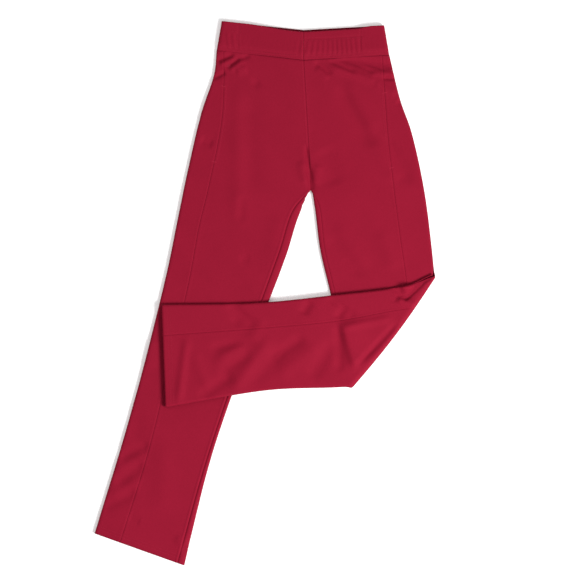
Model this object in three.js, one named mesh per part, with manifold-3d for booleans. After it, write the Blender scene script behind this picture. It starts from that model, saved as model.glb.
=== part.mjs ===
// Warm-up trousers worn for ice sports: stretch-knit pull-on trousers lying flat, front side up,
// with the left leg folded at the knee so that its lower half lies across the right leg.
// Millimetres, +Z up. In plan the crotch is at (0, 0), the waist lies towards +Y and the wearer's
// right leg lies towards -X. The finished group is centred on its own footprint.

import * as THREE from 'three';
import { mergeVertices } from 'three/addons/utils/BufferGeometryUtils.js';
import Module from 'manifold-3d';

// ---------------------------------------------------------------- driving dimensions

// Cloth, and the gap that neighbouring pieces keep, seams included.
const CLOTH = 1.2; // double knit
const FACING = 0.8; // turned-in cloth of hems and waistband
const LINING = 0.6; // one layer of a pocket bag
const ELASTIC = 1;
const GAP = 0.3;

// Flattened tubes of cloth, from the floor up.
const LEG_HEIGHT = 9.6; // front and back of a leg, with the air between them
const LEG_ROUND = 4.5; // roundness of a leg's long edges
const BAND_HEIGHT = 12.6; // front and back of the waistband
const BAND_ROUND = 6; // roundness of the waistband's ends

// Trunk, in plan.
const RISE = 260; // crotch to the waistband's seam, along the centre front
const CENTRE_LEAN = -15; // how far the centre seam wanders sideways over the rise
const BAND_DEPTH = 60; // waistband, seam to top edge
const BAND_RIGHT = { reach: 164, dip: 19 }; // centre to the right end, and its height over the centre
const BAND_LEFT = { reach: 162, dip: 10 };
const BAND_FLARE = 10; // how much further each end reaches at the band's seam

// Each leg in its own frame. A drop runs down the leg from the height of the crotch, and the
// other values say how far outwards of the leg's centre line an edge or a seam lies. At the band
// they say how far in from the band's end each one starts.
const belowBand = (distance) => distance - RISE;
const RIGHT_LEG = {
  side: -1,
  centre: -127,
  lean: 16.7,
  length: 751,
  band: { outer: 0, frontSeam: 14, backSeam: 47 },
  stations: [
    { drop: belowBand(55), outer: 131, frontSeam: 111, backSeam: 82 },
    { drop: belowBand(140), outer: 133, frontSeam: 90, backSeam: 76 },
    { drop: 10, outer: 125, frontSeam: 77, backSeam: 70, inseam: -99, inner: -114 },
    { drop: 100, outer: 117, frontSeam: 72, backSeam: 62, inseam: -96, inner: -113 },
    { drop: 200, outer: 108, frontSeam: 61, backSeam: 53, inseam: -90, inner: -106 },
    { drop: 400, outer: 98, frontSeam: 48, backSeam: 43, inseam: -80, inner: -89 },
    { drop: 560, outer: 95, frontSeam: 40, backSeam: 40, inseam: -76, inner: -85 },
  ],
  hem: { outer: 96, frontSeam: 42, backSeam: 37, inseam: -80, inner: -95 },
};
const LEFT_LEG = {
  side: 1,
  centre: 114,
  lean: 10.6,
  length: 741,
  band: { outer: 0, frontSeam: 15, backSeam: 51 },
  stations: [
    { drop: belowBand(95), outer: 97, frontSeam: 66, backSeam: 43 },
    { drop: belowBand(160), outer: 107, frontSeam: 59, backSeam: 50 },
    { drop: 10, outer: 111, frontSeam: 51, backSeam: 55, inseam: -102, inner: -111 },
    { drop: 100, outer: 107, frontSeam: 46, backSeam: 50, inseam: -107, inner: -116 },
    { drop: 186, outer: 98, frontSeam: 42, backSeam: 43, inseam: -103, inner: -112 },
    { drop: 240, outer: 81, frontSeam: 36, backSeam: 37, inseam: -102, inner: -111 },
    { drop: 390, outer: 75, frontSeam: 24, backSeam: 23, inseam: -101, inner: -110 },
    { drop: 540, outer: 74, frontSeam: 22, backSeam: 23, inseam: -93, inner: -102 },
  ],
  hem: { outer: 89, frontSeam: 34, backSeam: 27, inseam: -102, inner: -117 },
};

// Hems.
const HEM_SKEW = 5; // the hem lies this much lower at the inner edge, and higher at the outer one
const HEM_FACING_DEPTH = 24; // how far the hem is turned up inside
const HEM_ROWS = [10, 16]; // rows of stitching, up from the hem's edge

// The fold across the left knee, where it meets the leg's two edges.
const FOLD_OUTER = { drop: 188, across: 99 };
const FOLD_INNER = { drop: 380, across: -111 };
const FOLD_CLEARANCE = 1.5; // the cloth of both halves stops this short of the fold's line
const FOLD_GAP = 0.5; // air between the thigh and the leg folded over it

// Pockets, whose mouths lie in the seams between front and side panels.
const POCKET_TOP = belowBand(28); // drop of a bag's upper edge
const MOUTH_TOP = belowBand(75); // drop of a mouth's upper end
const MOUTH_LENGTH = 150;
const POCKET_WIDTH = 108; // a bag, from its mouth towards the centre front
const POCKET_BELOW_MOUTH = 58; // how far a bag hangs below its mouth
const POCKET_CORNER = 42;
const TACK = { length: 9, width: 2 }; // the bar of close stitches at each end of a mouth

// Waistband.
const ELASTIC_MARGIN = 8; // band cloth above and below the elastic
const BAND_ROWS = [4, 9]; // twin rows of stitching, up from the band's seam
const CASING_ROW = 44; // single row near the top of the band
const CASING_ROW_REACH = 114; // it runs from the centre to this far left of it

// Threads, and the blank care label.
const THREAD_WIDTH = 0.9;
const THREAD_HEIGHT = 0.4;
const ROW_MARGIN = 9; // rows of stitching stop this short of a rounded edge
const LABEL = { width: 30, length: 45, thickness: 0.3, fromCentre: -20, below: 3 };

// Fineness, and margins of the construction itself.
const SPLINE_STEPS = 3; // straight pieces between two points of a smooth line
const ROUND_STEPS = 3; // straight pieces round an edge
const SMALLEST_SIDE = 0.3; // half the upright side that is left between two rounded edges
const OVERSHOOT = 30; // outlines run past waist and hems, and are trimmed there
const FAR = 60; // cutting outlines pass the cloth by this much

// ---------------------------------------------------------------- finishes

function cloth(colour, roughness) {
  return new THREE.MeshStandardMaterial({ color: colour, roughness, metalness: 0 });
}

const FINISH = {
  shell: cloth(0x9a1d35, 0.82),
  facing: cloth(0x8f1a30, 0.85),
  lining: cloth(0x86182d, 0.88),
  thread: cloth(0x7d142a, 0.6),
  elastic: cloth(0xe9e6e1, 0.9),
  label: cloth(0xf4f2ee, 0.5),
};

// ---------------------------------------------------------------- solids

const wasm = await Module();
wasm.setup();

// A closed three.js geometry as a solid that can be joined and cut.
function solidOf(geometry) {
  geometry.deleteAttribute('normal');
  geometry.deleteAttribute('uv');
  const merged = mergeVertices(geometry);
  const vertProperties = new Float32Array(merged.attributes.position.array);
  const triVerts = new Uint32Array(merged.index.array);
  return new wasm.Manifold(new wasm.Mesh({ numProp: 3, vertProperties, triVerts }));
}

// A solid as a named mesh.
function meshOf(name, solid, material) {
  const { vertProperties, triVerts } = solid.getMesh();
  const geometry = new THREE.BufferGeometry();
  geometry.setAttribute('position', new THREE.BufferAttribute(vertProperties, 3));
  geometry.setIndex(new THREE.BufferAttribute(triVerts, 1));
  geometry.computeVertexNormals();
  const mesh = new THREE.Mesh(geometry, material.clone());
  mesh.name = name;
  return mesh;
}

// A straight-sided solid over an outline.
function slab(outline, bottom, top) {
  const options = { depth: top - bottom, bevelEnabled: false };
  const geometry = new THREE.ExtrudeGeometry(new THREE.Shape(outline), options);
  return solidOf(geometry.translate(0, 0, bottom));
}

// A solid with rounded edges over an outline, drawn in by an inset on every side.
function pillow(outline, height, round, inset) {
  const limited = Math.min(round, height / 2 - SMALLEST_SIDE);
  const options = {
    depth: height - 2 * limited,
    bevelThickness: limited - inset,
    bevelSize: limited - inset,
    bevelOffset: -limited,
    bevelSegments: ROUND_STEPS,
  };
  const geometry = new THREE.ExtrudeGeometry(new THREE.Shape(outline), options);
  return solidOf(geometry.translate(0, 0, limited));
}

// A flattened tube of cloth with an even wall, some way inside an outline.
function tube(outline, height, round, inset, wall) {
  return pillow(outline, height, round, inset).subtract(pillow(outline, height, round, inset + wall));
}

// ---------------------------------------------------------------- plan of the garment

const point = (x, y) => new THREE.Vector2(x, y);
const CROTCH = point(0, 0);

// A smooth line through a few points.
function smooth(points) {
  const spatial = points.map(({ x, y }) => new THREE.Vector3(x, y, 0));
  const curve = new THREE.CatmullRomCurve3(spatial, false, 'centripetal');
  return curve.getPoints(SPLINE_STEPS * (points.length - 1)).map(({ x, y }) => point(x, y));
}

// A place in a leg's frame.
function legPoint(leg, drop, across) {
  const lean = THREE.MathUtils.degToRad(leg.lean);
  const x = leg.centre + leg.side * (drop * Math.sin(lean) + across * Math.cos(lean));
  const y = across * Math.sin(lean) - drop * Math.cos(lean);
  return point(x, y);
}

// The drop of a line some way up from a leg's hem, at a place across the leg.
function hemDrop(leg, across, up) {
  return leg.length - up - (HEM_SKEW * across) / leg.hem.outer;
}

// Where a leg's edge or seam meets the waistband's seam.
function bandPoint(leg, edge, shift) {
  const band = leg.side < 0 ? BAND_RIGHT : BAND_LEFT;
  const reach = band.reach + BAND_FLARE - leg.band[edge] + shift;
  return point(CENTRE_LEAN + leg.side * reach, RISE + band.dip);
}

// The same place in the leg's own frame: how far down the leg, and how far across it.
function bandStation(leg, edge) {
  const lean = THREE.MathUtils.degToRad(leg.lean);
  const place = bandPoint(leg, edge, 0);
  const outwards = leg.side * (place.x - leg.centre);
  return {
    drop: outwards * Math.sin(lean) - place.y * Math.cos(lean),
    [edge]: outwards * Math.cos(lean) + place.y * Math.sin(lean),
  };
}

// How far across a leg one of its edges or seams lies, at a drop between two stations.
function acrossAt(leg, edge, drop) {
  const stations = [bandStation(leg, edge), ...leg.stations];
  const below = stations.findIndex((station) => station.drop > drop);
  const [upper, lower] = stations.slice(below - 1, below + 1);
  const share = (drop - upper.drop) / (lower.drop - upper.drop);
  return THREE.MathUtils.lerp(upper[edge], lower[edge], share);
}

// An edge or seam of a leg, moved outwards by a shift, from the band or the crotch to past the hem.
function legLine(leg, edge, shift) {
  const stations = leg.stations.filter((station) => edge in station);
  const start = edge in leg.band ? [bandPoint(leg, edge, shift)] : [];
  const across = leg.hem[edge] + shift;
  return [
    ...start,
    ...stations.map((station) => legPoint(leg, station.drop, station[edge] + shift)),
    legPoint(leg, hemDrop(leg, across, 0), across),
    legPoint(leg, leg.length + OVERSHOOT, across),
  ];
}

// A line parallel to the waistband's seam, some way up from it, between two places.
function bandLine(up, fromX, toX) {
  const rightEnd = point(CENTRE_LEAN - BAND_RIGHT.reach - BAND_FLARE, RISE + BAND_RIGHT.dip);
  const leftEnd = point(CENTRE_LEAN + BAND_LEFT.reach + BAND_FLARE, RISE + BAND_LEFT.dip);
  const heightAt = (x) => {
    const end = x < CENTRE_LEAN ? rightEnd : leftEnd;
    const share = Math.min(1, (x - CENTRE_LEAN) / (end.x - CENTRE_LEAN));
    return RISE + (end.y - RISE) * share ** 2 * (2 - share);
  };
  const count = SPLINE_STEPS * 4;
  const places = Array.from({ length: count + 1 }, (_, i) => fromX + ((toX - fromX) * i) / count);
  return places.map((x) => point(x, heightAt(x) + up));
}

// The whole garment laid out flat: waist, right leg, crotch, left leg.
function garmentOutline() {
  const rightOuter = smooth(legLine(RIGHT_LEG, 'outer', 0));
  const leftOuter = smooth(legLine(LEFT_LEG, 'outer', 0));
  const rightInner = legLine(RIGHT_LEG, 'inner', 0).reverse();
  const inside = smooth([...rightInner, CROTCH, ...legLine(LEFT_LEG, 'inner', 0)]);
  const rightTop = rightOuter[0].clone().add(point(0, OVERSHOOT));
  const leftTop = leftOuter[0].clone().add(point(0, OVERSHOOT));
  return [rightTop, ...rightOuter, ...inside, ...leftOuter.reverse(), leftTop];
}

// The ends of the waistband, running past its seam and its top edge.
function bandOutline() {
  const end = (side, band, up) => {
    const flare = BAND_FLARE * (1 - up / BAND_DEPTH);
    return point(CENTRE_LEAN + side * (band.reach + flare), RISE + band.dip + up);
  };
  const low = -OVERSHOOT;
  const high = BAND_DEPTH + OVERSHOOT;
  return [
    end(-1, BAND_RIGHT, low),
    end(1, BAND_LEFT, low),
    end(1, BAND_LEFT, high),
    end(-1, BAND_RIGHT, high),
  ];
}

const BAND_FROM = CENTRE_LEAN - BAND_RIGHT.reach - FAR;
const BAND_TO = CENTRE_LEAN + BAND_LEFT.reach + FAR;

// A cutter for everything between two lines parallel to the waistband's seam.
function acrossBand(low, high, bottom, top) {
  const lower = bandLine(low, BAND_FROM, BAND_TO);
  const upper = bandLine(high, BAND_FROM, BAND_TO);
  return slab([...lower, ...upper.reverse()], bottom, top);
}

// A cutter for one leg's end, between two lines parallel to its hem.
function acrossHem(leg, low, high, bottom, top) {
  const outside = leg.hem.outer + FAR;
  const inside = leg.hem.inner - FAR / 2;
  const corner = (across, up) => legPoint(leg, hemDrop(leg, across, up), across);
  const corners = [corner(outside, low), corner(inside, low), corner(inside, high), corner(outside, high)];
  return slab(corners, bottom, top);
}

// ---------------------------------------------------------------- panels of a leg

const LOW = -FAR;
const HIGH = FAR;
const LEG_MIDDLE = LEG_HEIGHT / 2;
const HALF_GAP = GAP / 2;

// A cutter for the strip between two lines that both run down from the waist.
function strip(line, otherLine, bottom, top) {
  return slab([...line, ...[...otherLine].reverse()], bottom, top);
}

// Cutters for the front, back and side panel of one leg with its half of the trunk.
function panelCutters(leg) {
  const raised = (line) => [line[0].clone().add(point(0, FAR)), ...line];
  const seam = (edge, shift) => raised(smooth(legLine(leg, edge, shift)));
  const beyond = raised(legLine(leg, 'outer', FAR));
  const top = RISE + FAR;
  const centreTop = point((CENTRE_LEAN * top) / RISE + leg.side * HALF_GAP, top);
  const fork = CROTCH.clone().add(point(leg.side * HALF_GAP, 0));
  const foot = legPoint(leg, leg.length + OVERSHOOT, leg.hem.inner - FAR / 2);
  const inseam = (shift) => smooth([fork, ...legLine(leg, 'inseam', shift)]);

  const sideFront = strip(beyond, seam('frontSeam', HALF_GAP), LEG_MIDDLE, HIGH);
  const sideBack = strip(beyond, seam('backSeam', HALF_GAP), LOW, LEG_MIDDLE);
  const sideEdge = strip(beyond, seam('outer', -2 * LEG_ROUND), LOW, HIGH);
  const backFlat = strip(seam('backSeam', -HALF_GAP), [centreTop, fork, foot], LOW, LEG_MIDDLE - GAP);
  const inseamWrap = slab([...inseam(-HALF_GAP), foot], LOW, HIGH);
  return {
    front: strip(seam('frontSeam', -HALF_GAP), [centreTop, ...inseam(HALF_GAP)], LEG_MIDDLE, HIGH),
    back: backFlat.add(inseamWrap),
    side: sideFront.add(sideBack).add(sideEdge),
  };
}

// The fold's line in plan, and cutters for the cloth on either side of it.
function foldLine() {
  const outer = legPoint(LEFT_LEG, FOLD_OUTER.drop, FOLD_OUTER.across);
  const inner = legPoint(LEFT_LEG, FOLD_INNER.drop, FOLD_INNER.across);
  const along = inner.clone().sub(outer).normalize();
  return { outer, inner, along, downLeg: point(-along.y, along.x) };
}

function besideFold(direction) {
  const { outer, inner, along, downLeg } = foldLine();
  const reach = LEFT_LEG.length + RISE;
  const place = (start, alongBy, downBy) =>
    start.clone().addScaledVector(along, alongBy).addScaledVector(downLeg, direction * downBy);
  const corners = [
    place(outer, -FAR * 2, FOLD_CLEARANCE),
    place(inner, FAR * 2, FOLD_CLEARANCE),
    place(inner, reach, reach),
    place(outer, -reach, reach),
  ];
  return slab(corners, LOW, HIGH);
}

// ---------------------------------------------------------------- trunk and legs

const root = new THREE.Group();
const lowerLeg = new THREE.Group();
const outline = garmentOutline();
const thighSide = besideFold(-1);
const hemSide = besideFold(1);

// The cloth of both legs and the trunk, between the waistband's seam and the hems.
function trimmedShell() {
  const reach = RISE + RIGHT_LEG.length + FAR;
  const ends = [RIGHT_LEG, LEFT_LEG].map((leg) => acrossHem(leg, -reach, 0, LOW, HIGH));
  return tube(outline, LEG_HEIGHT, LEG_ROUND, 0, CLOTH)
    .subtract(acrossBand(-HALF_GAP, reach, LOW, HIGH))
    .subtract(ends[0])
    .subtract(ends[1]);
}

const shell = trimmedShell();
for (const [panel, cutter] of Object.entries(panelCutters(RIGHT_LEG))) {
  root.add(meshOf(`${panel}_panel_right`, shell.intersect(cutter), FINISH.shell));
}
for (const [panel, cutter] of Object.entries(panelCutters(LEFT_LEG))) {
  const whole = shell.intersect(cutter);
  root.add(meshOf(`${panel}_panel_left_upper`, whole.intersect(thighSide), FINISH.shell));
  lowerLeg.add(meshOf(`${panel}_panel_left_lower`, whole.intersect(hemSide), FINISH.shell));
}

// The turned-up hems, each a ring of cloth inside its leg's end.
const hemTube = tube(outline, LEG_HEIGHT, LEG_ROUND, CLOTH + GAP, FACING);
for (const [leg, name, group] of [
  [RIGHT_LEG, 'hem_facing_right', root],
  [LEFT_LEG, 'hem_facing_left', lowerLeg],
]) {
  const end = acrossHem(leg, 0, HEM_FACING_DEPTH, LOW, HIGH);
  group.add(meshOf(name, hemTube.intersect(end), FINISH.facing));
}

// Rows of stitching round a hem, on the side of the leg that lies uppermost.
function hemRow(leg, up, bottom) {
  const across = [leg.hem.inner + ROW_MARGIN, leg.hem.outer - ROW_MARGIN];
  const corner = (place, rise) => legPoint(leg, hemDrop(leg, place, rise), place);
  const corners = [
    corner(across[0], up),
    corner(across[1], up),
    corner(across[1], up + THREAD_WIDTH),
    corner(across[0], up + THREAD_WIDTH),
  ];
  return slab(corners, bottom, bottom + THREAD_HEIGHT);
}

HEM_ROWS.forEach((up, row) => {
  const onFront = hemRow(RIGHT_LEG, up, LEG_HEIGHT + GAP);
  const onBack = hemRow(LEFT_LEG, up, -GAP - THREAD_HEIGHT);
  root.add(meshOf(`hem_stitching_right_${row + 1}`, onFront, FINISH.thread));
  lowerLeg.add(meshOf(`hem_stitching_left_${row + 1}`, onBack, FINISH.thread));
});

// ---------------------------------------------------------------- pockets

// A pocket bag in plan, from its mouth's seam towards the centre front.
function pocketOutline(leg) {
  const bottom = MOUTH_TOP + MOUTH_LENGTH + POCKET_BELOW_MOUTH;
  const near = (drop) => acrossAt(leg, 'frontSeam', drop) - GAP;
  const far = near(MOUTH_TOP + MOUTH_LENGTH) - POCKET_WIDTH;
  const place = (drop, across) => legPoint(leg, drop, across);
  const corner = (start, knee, end) =>
    new THREE.QuadraticBezierCurve(start, knee, end).getPoints(SPLINE_STEPS * 2);
  return [
    place(POCKET_TOP, far),
    place(POCKET_TOP, near(POCKET_TOP)),
    place(MOUTH_TOP, near(MOUTH_TOP)),
    ...corner(
      place(bottom - POCKET_CORNER, near(bottom - POCKET_CORNER)),
      place(bottom, near(bottom)),
      place(bottom, near(bottom) - POCKET_CORNER),
    ),
    ...corner(
      place(bottom, far + POCKET_CORNER),
      place(bottom, far),
      place(bottom - POCKET_CORNER, far),
    ),
  ];
}

// A bar of close stitches across a pocket mouth's end.
function tack(leg, drop) {
  const across = acrossAt(leg, 'frontSeam', drop);
  const halfLength = TACK.length / 2;
  const halfWidth = TACK.width / 2;
  const corners = [
    legPoint(leg, drop - halfWidth, across - halfLength),
    legPoint(leg, drop - halfWidth, across + halfLength),
    legPoint(leg, drop + halfWidth, across + halfLength),
    legPoint(leg, drop + halfWidth, across - halfLength),
  ];
  return slab(corners, LEG_HEIGHT + GAP, LEG_HEIGHT + GAP + THREAD_HEIGHT);
}

const frontLayerTop = LEG_HEIGHT - CLOTH - GAP;
const backLayerTop = frontLayerTop - LINING - GAP;
const belowSeam = acrossBand(-RISE - FAR, -HALF_GAP, LOW, HIGH);
for (const [leg, side] of [
  [RIGHT_LEG, 'right'],
  [LEFT_LEG, 'left'],
]) {
  const plan = pocketOutline(leg);
  const front = slab(plan, frontLayerTop - LINING, frontLayerTop).intersect(belowSeam);
  const back = slab(plan, backLayerTop - LINING, backLayerTop).intersect(belowSeam);
  root.add(meshOf(`pocket_bag_front_${side}`, front, FINISH.lining));
  root.add(meshOf(`pocket_bag_back_${side}`, back, FINISH.lining));
  root.add(meshOf(`pocket_tack_upper_${side}`, tack(leg, MOUTH_TOP), FINISH.thread));
  root.add(meshOf(`pocket_tack_lower_${side}`, tack(leg, MOUTH_TOP + MOUTH_LENGTH), FINISH.thread));
}

// ---------------------------------------------------------------- waistband

const BAND_MIDDLE = BAND_HEIGHT / 2;
const band = bandOutline();
const bandFront = acrossBand(HALF_GAP, BAND_DEPTH, BAND_MIDDLE + HALF_GAP, HIGH);
const bandBack = acrossBand(HALF_GAP, BAND_DEPTH, LOW, BAND_MIDDLE - HALF_GAP);

// Everything on one side of the centre seam, as a cutter.
function besideCentre(side) {
  const near = (y) => point((CENTRE_LEAN * Math.min(y, RISE)) / RISE + side * HALF_GAP, y);
  const reach = side * (BAND_RIGHT.reach + FAR * 2);
  const top = RISE + BAND_DEPTH + FAR;
  return slab([near(0), near(RISE), near(top), point(reach, top), point(reach, 0)], LOW, HIGH);
}

const bandCloth = tube(band, BAND_HEIGHT, BAND_ROUND, 0, CLOTH);
const bandFrontCloth = bandCloth.intersect(bandFront);
root.add(meshOf('waistband_front_right', bandFrontCloth.intersect(besideCentre(-1)), FINISH.shell));
root.add(meshOf('waistband_front_left', bandFrontCloth.intersect(besideCentre(1)), FINISH.shell));
root.add(meshOf('waistband_back', bandCloth.intersect(bandBack), FINISH.shell));

const elasticInset = CLOTH + GAP;
const elasticDepth = acrossBand(ELASTIC_MARGIN, BAND_DEPTH - ELASTIC_MARGIN, LOW, HIGH);
const elastic = tube(band, BAND_HEIGHT, BAND_ROUND, elasticInset, ELASTIC).intersect(elasticDepth);
root.add(meshOf('waist_elastic', elastic, FINISH.elastic));

const facingInset = elasticInset + ELASTIC + GAP;
const bandLining = tube(band, BAND_HEIGHT, BAND_ROUND, facingInset, FACING);
root.add(meshOf('waistband_facing_front', bandLining.intersect(bandFront), FINISH.facing));
root.add(meshOf('waistband_facing_back', bandLining.intersect(bandBack), FINISH.facing));

// A row of stitching that follows the waistband's seam.
function bandRow(up, fromX, toX) {
  const lower = bandLine(up, fromX, toX);
  const upper = bandLine(up + THREAD_WIDTH, fromX, toX);
  const bottom = BAND_HEIGHT + GAP;
  return slab([...lower, ...upper.reverse()], bottom, bottom + THREAD_HEIGHT);
}

const rowFrom = CENTRE_LEAN - BAND_RIGHT.reach + ROW_MARGIN;
const rowTo = CENTRE_LEAN + BAND_LEFT.reach - ROW_MARGIN;
BAND_ROWS.forEach((up, row) => {
  root.add(meshOf(`waistband_stitching_${row + 1}`, bandRow(up, rowFrom, rowTo), FINISH.thread));
});
const casingRow = bandRow(CASING_ROW, CENTRE_LEAN + ROW_MARGIN, CENTRE_LEAN + CASING_ROW_REACH);
root.add(meshOf('casing_stitching', casingRow, FINISH.thread));

// The blank care label hangs inside the back, below the waistband.
function careLabel() {
  const left = CENTRE_LEAN + LABEL.fromCentre - LABEL.width / 2;
  const right = left + LABEL.width;
  const top = RISE - LABEL.below;
  const low = top - LABEL.length;
  const bottom = CLOTH + GAP;
  const corners = [point(left, low), point(right, low), point(right, top), point(left, top)];
  return slab(corners, bottom, bottom + LABEL.thickness);
}

root.add(meshOf('care_label', careLabel(), FINISH.label));

// ---------------------------------------------------------------- assembly

// The lower half of the left leg, turned over about the fold's line.
function foldOver(group) {
  const { outer, along } = foldLine();
  const hinge = new THREE.Group();
  hinge.position.set(outer.x, outer.y, LEG_HEIGHT + FOLD_GAP / 2);
  hinge.quaternion.setFromAxisAngle(new THREE.Vector3(along.x, along.y, 0), Math.PI);
  group.position.copy(hinge.position).negate();
  hinge.add(group);
  return hinge;
}

const trousers = new THREE.Group();
trousers.add(root, foldOver(lowerLeg));
trousers.updateMatrixWorld(true);
const footprint = new THREE.Box3().setFromObject(trousers, true);
const middle = footprint.getCenter(new THREE.Vector3());
trousers.position.set(-middle.x, -middle.y, -footprint.min.z);

export default trousers;
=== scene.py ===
"""Stretch-knit warm-up trousers lying flat, front up, with the left leg folded across the right.

The garment is drawn in plan, in millimetres, with the crotch at (0, 0), the waist towards +Y and
the wearer's right leg towards -X. Every panel is a sheet of cloth laid round a flattened leg, and
the left leg's sheets are then folded over at the knee.
"""

import logging
import math
from dataclasses import dataclass, field
from enum import Enum

import bmesh
import bpy
import numpy as np
from mathutils import Matrix, Vector


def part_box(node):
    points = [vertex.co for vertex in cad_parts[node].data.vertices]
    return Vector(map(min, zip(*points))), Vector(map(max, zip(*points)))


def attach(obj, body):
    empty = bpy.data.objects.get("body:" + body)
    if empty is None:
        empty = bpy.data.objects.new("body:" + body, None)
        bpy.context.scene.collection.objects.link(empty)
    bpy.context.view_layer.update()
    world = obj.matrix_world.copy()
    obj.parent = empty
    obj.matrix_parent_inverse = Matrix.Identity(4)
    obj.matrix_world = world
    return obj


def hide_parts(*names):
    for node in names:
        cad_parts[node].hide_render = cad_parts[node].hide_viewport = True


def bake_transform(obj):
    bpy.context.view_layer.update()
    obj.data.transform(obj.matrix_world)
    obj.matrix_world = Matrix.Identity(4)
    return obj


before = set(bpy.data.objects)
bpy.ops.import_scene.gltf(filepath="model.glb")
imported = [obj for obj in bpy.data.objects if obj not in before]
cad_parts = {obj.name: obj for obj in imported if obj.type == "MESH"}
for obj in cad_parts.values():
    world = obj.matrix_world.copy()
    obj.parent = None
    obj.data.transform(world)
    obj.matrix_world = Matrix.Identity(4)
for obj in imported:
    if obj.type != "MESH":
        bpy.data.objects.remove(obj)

LOG = logging.getLogger("trousers")
MM = 0.001
CROTCH = np.array([94.39, 207.08])  # the crotch's place on the floor

TRUNK_BODY = "trunk_and_thighs"
SHIN_BODY = "left_lower_leg"


class Slot(Enum):
    """The record's material slots."""

    SHELL = "knit_shell"
    FACING = "knit_facing"
    LINING = "pocket_lining"
    THREAD = "thread"
    ELASTIC = "elastic"
    LABEL = "label"


class Half(Enum):
    """Which half of a flattened leg a sheet lies on, where a leg's panels are split at its edges."""

    WHOLE = "whole"
    BACK = "back"
    FRONT = "front"


# ---------------------------------------------------------------- finishes


@dataclass(frozen=True)
class Knit:
    """A knitted cloth, whose pattern follows the sheet's own UV map in metres.

    Attributes:
        name: The material's name.
        slot: The record's slot it belongs to.
        colour: Linear base colour.
        deep: Linear colour of the slightly darker patches.
        roughness: Surface roughness.
        sheen: How strong the soft sheen of its fibres is.
        wale: Width of one column of loops.
        relief: How strongly the loops stand out.
    """

    name: str
    slot: Slot
    colour: tuple[float, float, float]
    deep: tuple[float, float, float]
    roughness: float = 0.7
    sheen: float = 0.025
    wale: float = 0.0011
    relief: float = 0.35

    def material(self) -> bpy.types.Material:
        """Makes the node material.

        Returns:
            The new material.
        """
        made = bpy.data.materials.new(self.name)
        made.use_nodes = True
        tree = made.node_tree
        shader = tree.nodes["Principled BSDF"]
        shader.inputs["Roughness"].default_value = self.roughness
        shader.inputs["Sheen Weight"].default_value = self.sheen
        shader.inputs["Sheen Roughness"].default_value = 0.5
        shader.inputs["Sheen Tint"].default_value = (1.0, 0.3, 0.4, 1.0)
        shader.inputs["Specular IOR Level"].default_value = 0.045
        where = tree.nodes.new("ShaderNodeUVMap")
        where.uv_map = "cloth"
        tree.links.new(self._mottle(tree, where), shader.inputs["Base Color"])
        tree.links.new(self._loops(tree, where), shader.inputs["Normal"])
        return made

    def _mottle(self, tree: bpy.types.NodeTree, where: bpy.types.Node) -> bpy.types.NodeSocket:
        """Broad, faint patches with finer heather over them.

        Args:
            tree: The material's node tree.
            where: The node that gives the sheet's own coordinates.

        Returns:
            The colour socket.
        """
        amounts = []
        for scale, detail in ((16.0, 3.0), (420.0, 2.0)):
            noise = tree.nodes.new("ShaderNodeTexNoise")
            noise.inputs["Scale"].default_value = scale
            noise.inputs["Detail"].default_value = detail
            tree.links.new(where.outputs["UV"], noise.inputs["Vector"])
            amounts.append(noise.outputs["Fac"])
        both = tree.nodes.new("ShaderNodeMath")
        both.operation = "MULTIPLY_ADD"
        both.inputs[1].default_value = 0.55
        tree.links.new(amounts[0], both.inputs[0])
        tree.links.new(amounts[1], both.inputs[2])
        shades = tree.nodes.new("ShaderNodeValToRGB")
        shades.color_ramp.elements[0].position = 0.45
        shades.color_ramp.elements[0].color = (*self.deep, 1.0)
        shades.color_ramp.elements[1].position = 1.05
        shades.color_ramp.elements[1].color = (*self.colour, 1.0)
        tree.links.new(both.outputs[0], shades.inputs["Fac"])
        return shades.outputs["Color"]

    def _loops(self, tree: bpy.types.NodeTree, where: bpy.types.Node) -> bpy.types.NodeSocket:
        """Columns of V-shaped loops as a bump.

        Args:
            tree: The material's node tree.
            where: The node that gives the sheet's own coordinates.

        Returns:
            The normal socket.
        """

        def step(operation: str, first, second) -> bpy.types.NodeSocket:
            """One sum of the height.

            Args:
                operation: The kind of sum.
                first: Its first socket or number.
                second: Its second, if it has one.

            Returns:
                The result's socket.
            """
            node = tree.nodes.new("ShaderNodeMath")
            node.operation = operation
            for socket, value in zip(node.inputs, (first, second)):
                if isinstance(value, float):
                    socket.default_value = value
                elif value is not None:
                    tree.links.new(value, socket)
            return node.outputs[0]

        apart = tree.nodes.new("ShaderNodeSeparateXYZ")
        tree.links.new(where.outputs["UV"], apart.inputs[0])
        turn = 2.0 * math.pi / self.wale
        column = step("SINE", step("MULTIPLY", apart.outputs[0], turn), None)
        slant = step("MULTIPLY", step("ABSOLUTE", column, None), 2.2)
        course = step("SINE", step("ADD", step("MULTIPLY", apart.outputs[1], turn * 1.3), slant), None)
        height = step("ADD", step("ABSOLUTE", column, None), step("MULTIPLY", course, 0.45))
        bump = tree.nodes.new("ShaderNodeBump")
        bump.inputs["Strength"].default_value = self.relief
        bump.inputs["Distance"].default_value = 0.00016
        tree.links.new(height, bump.inputs["Height"])
        return bump.outputs["Normal"]


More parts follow.
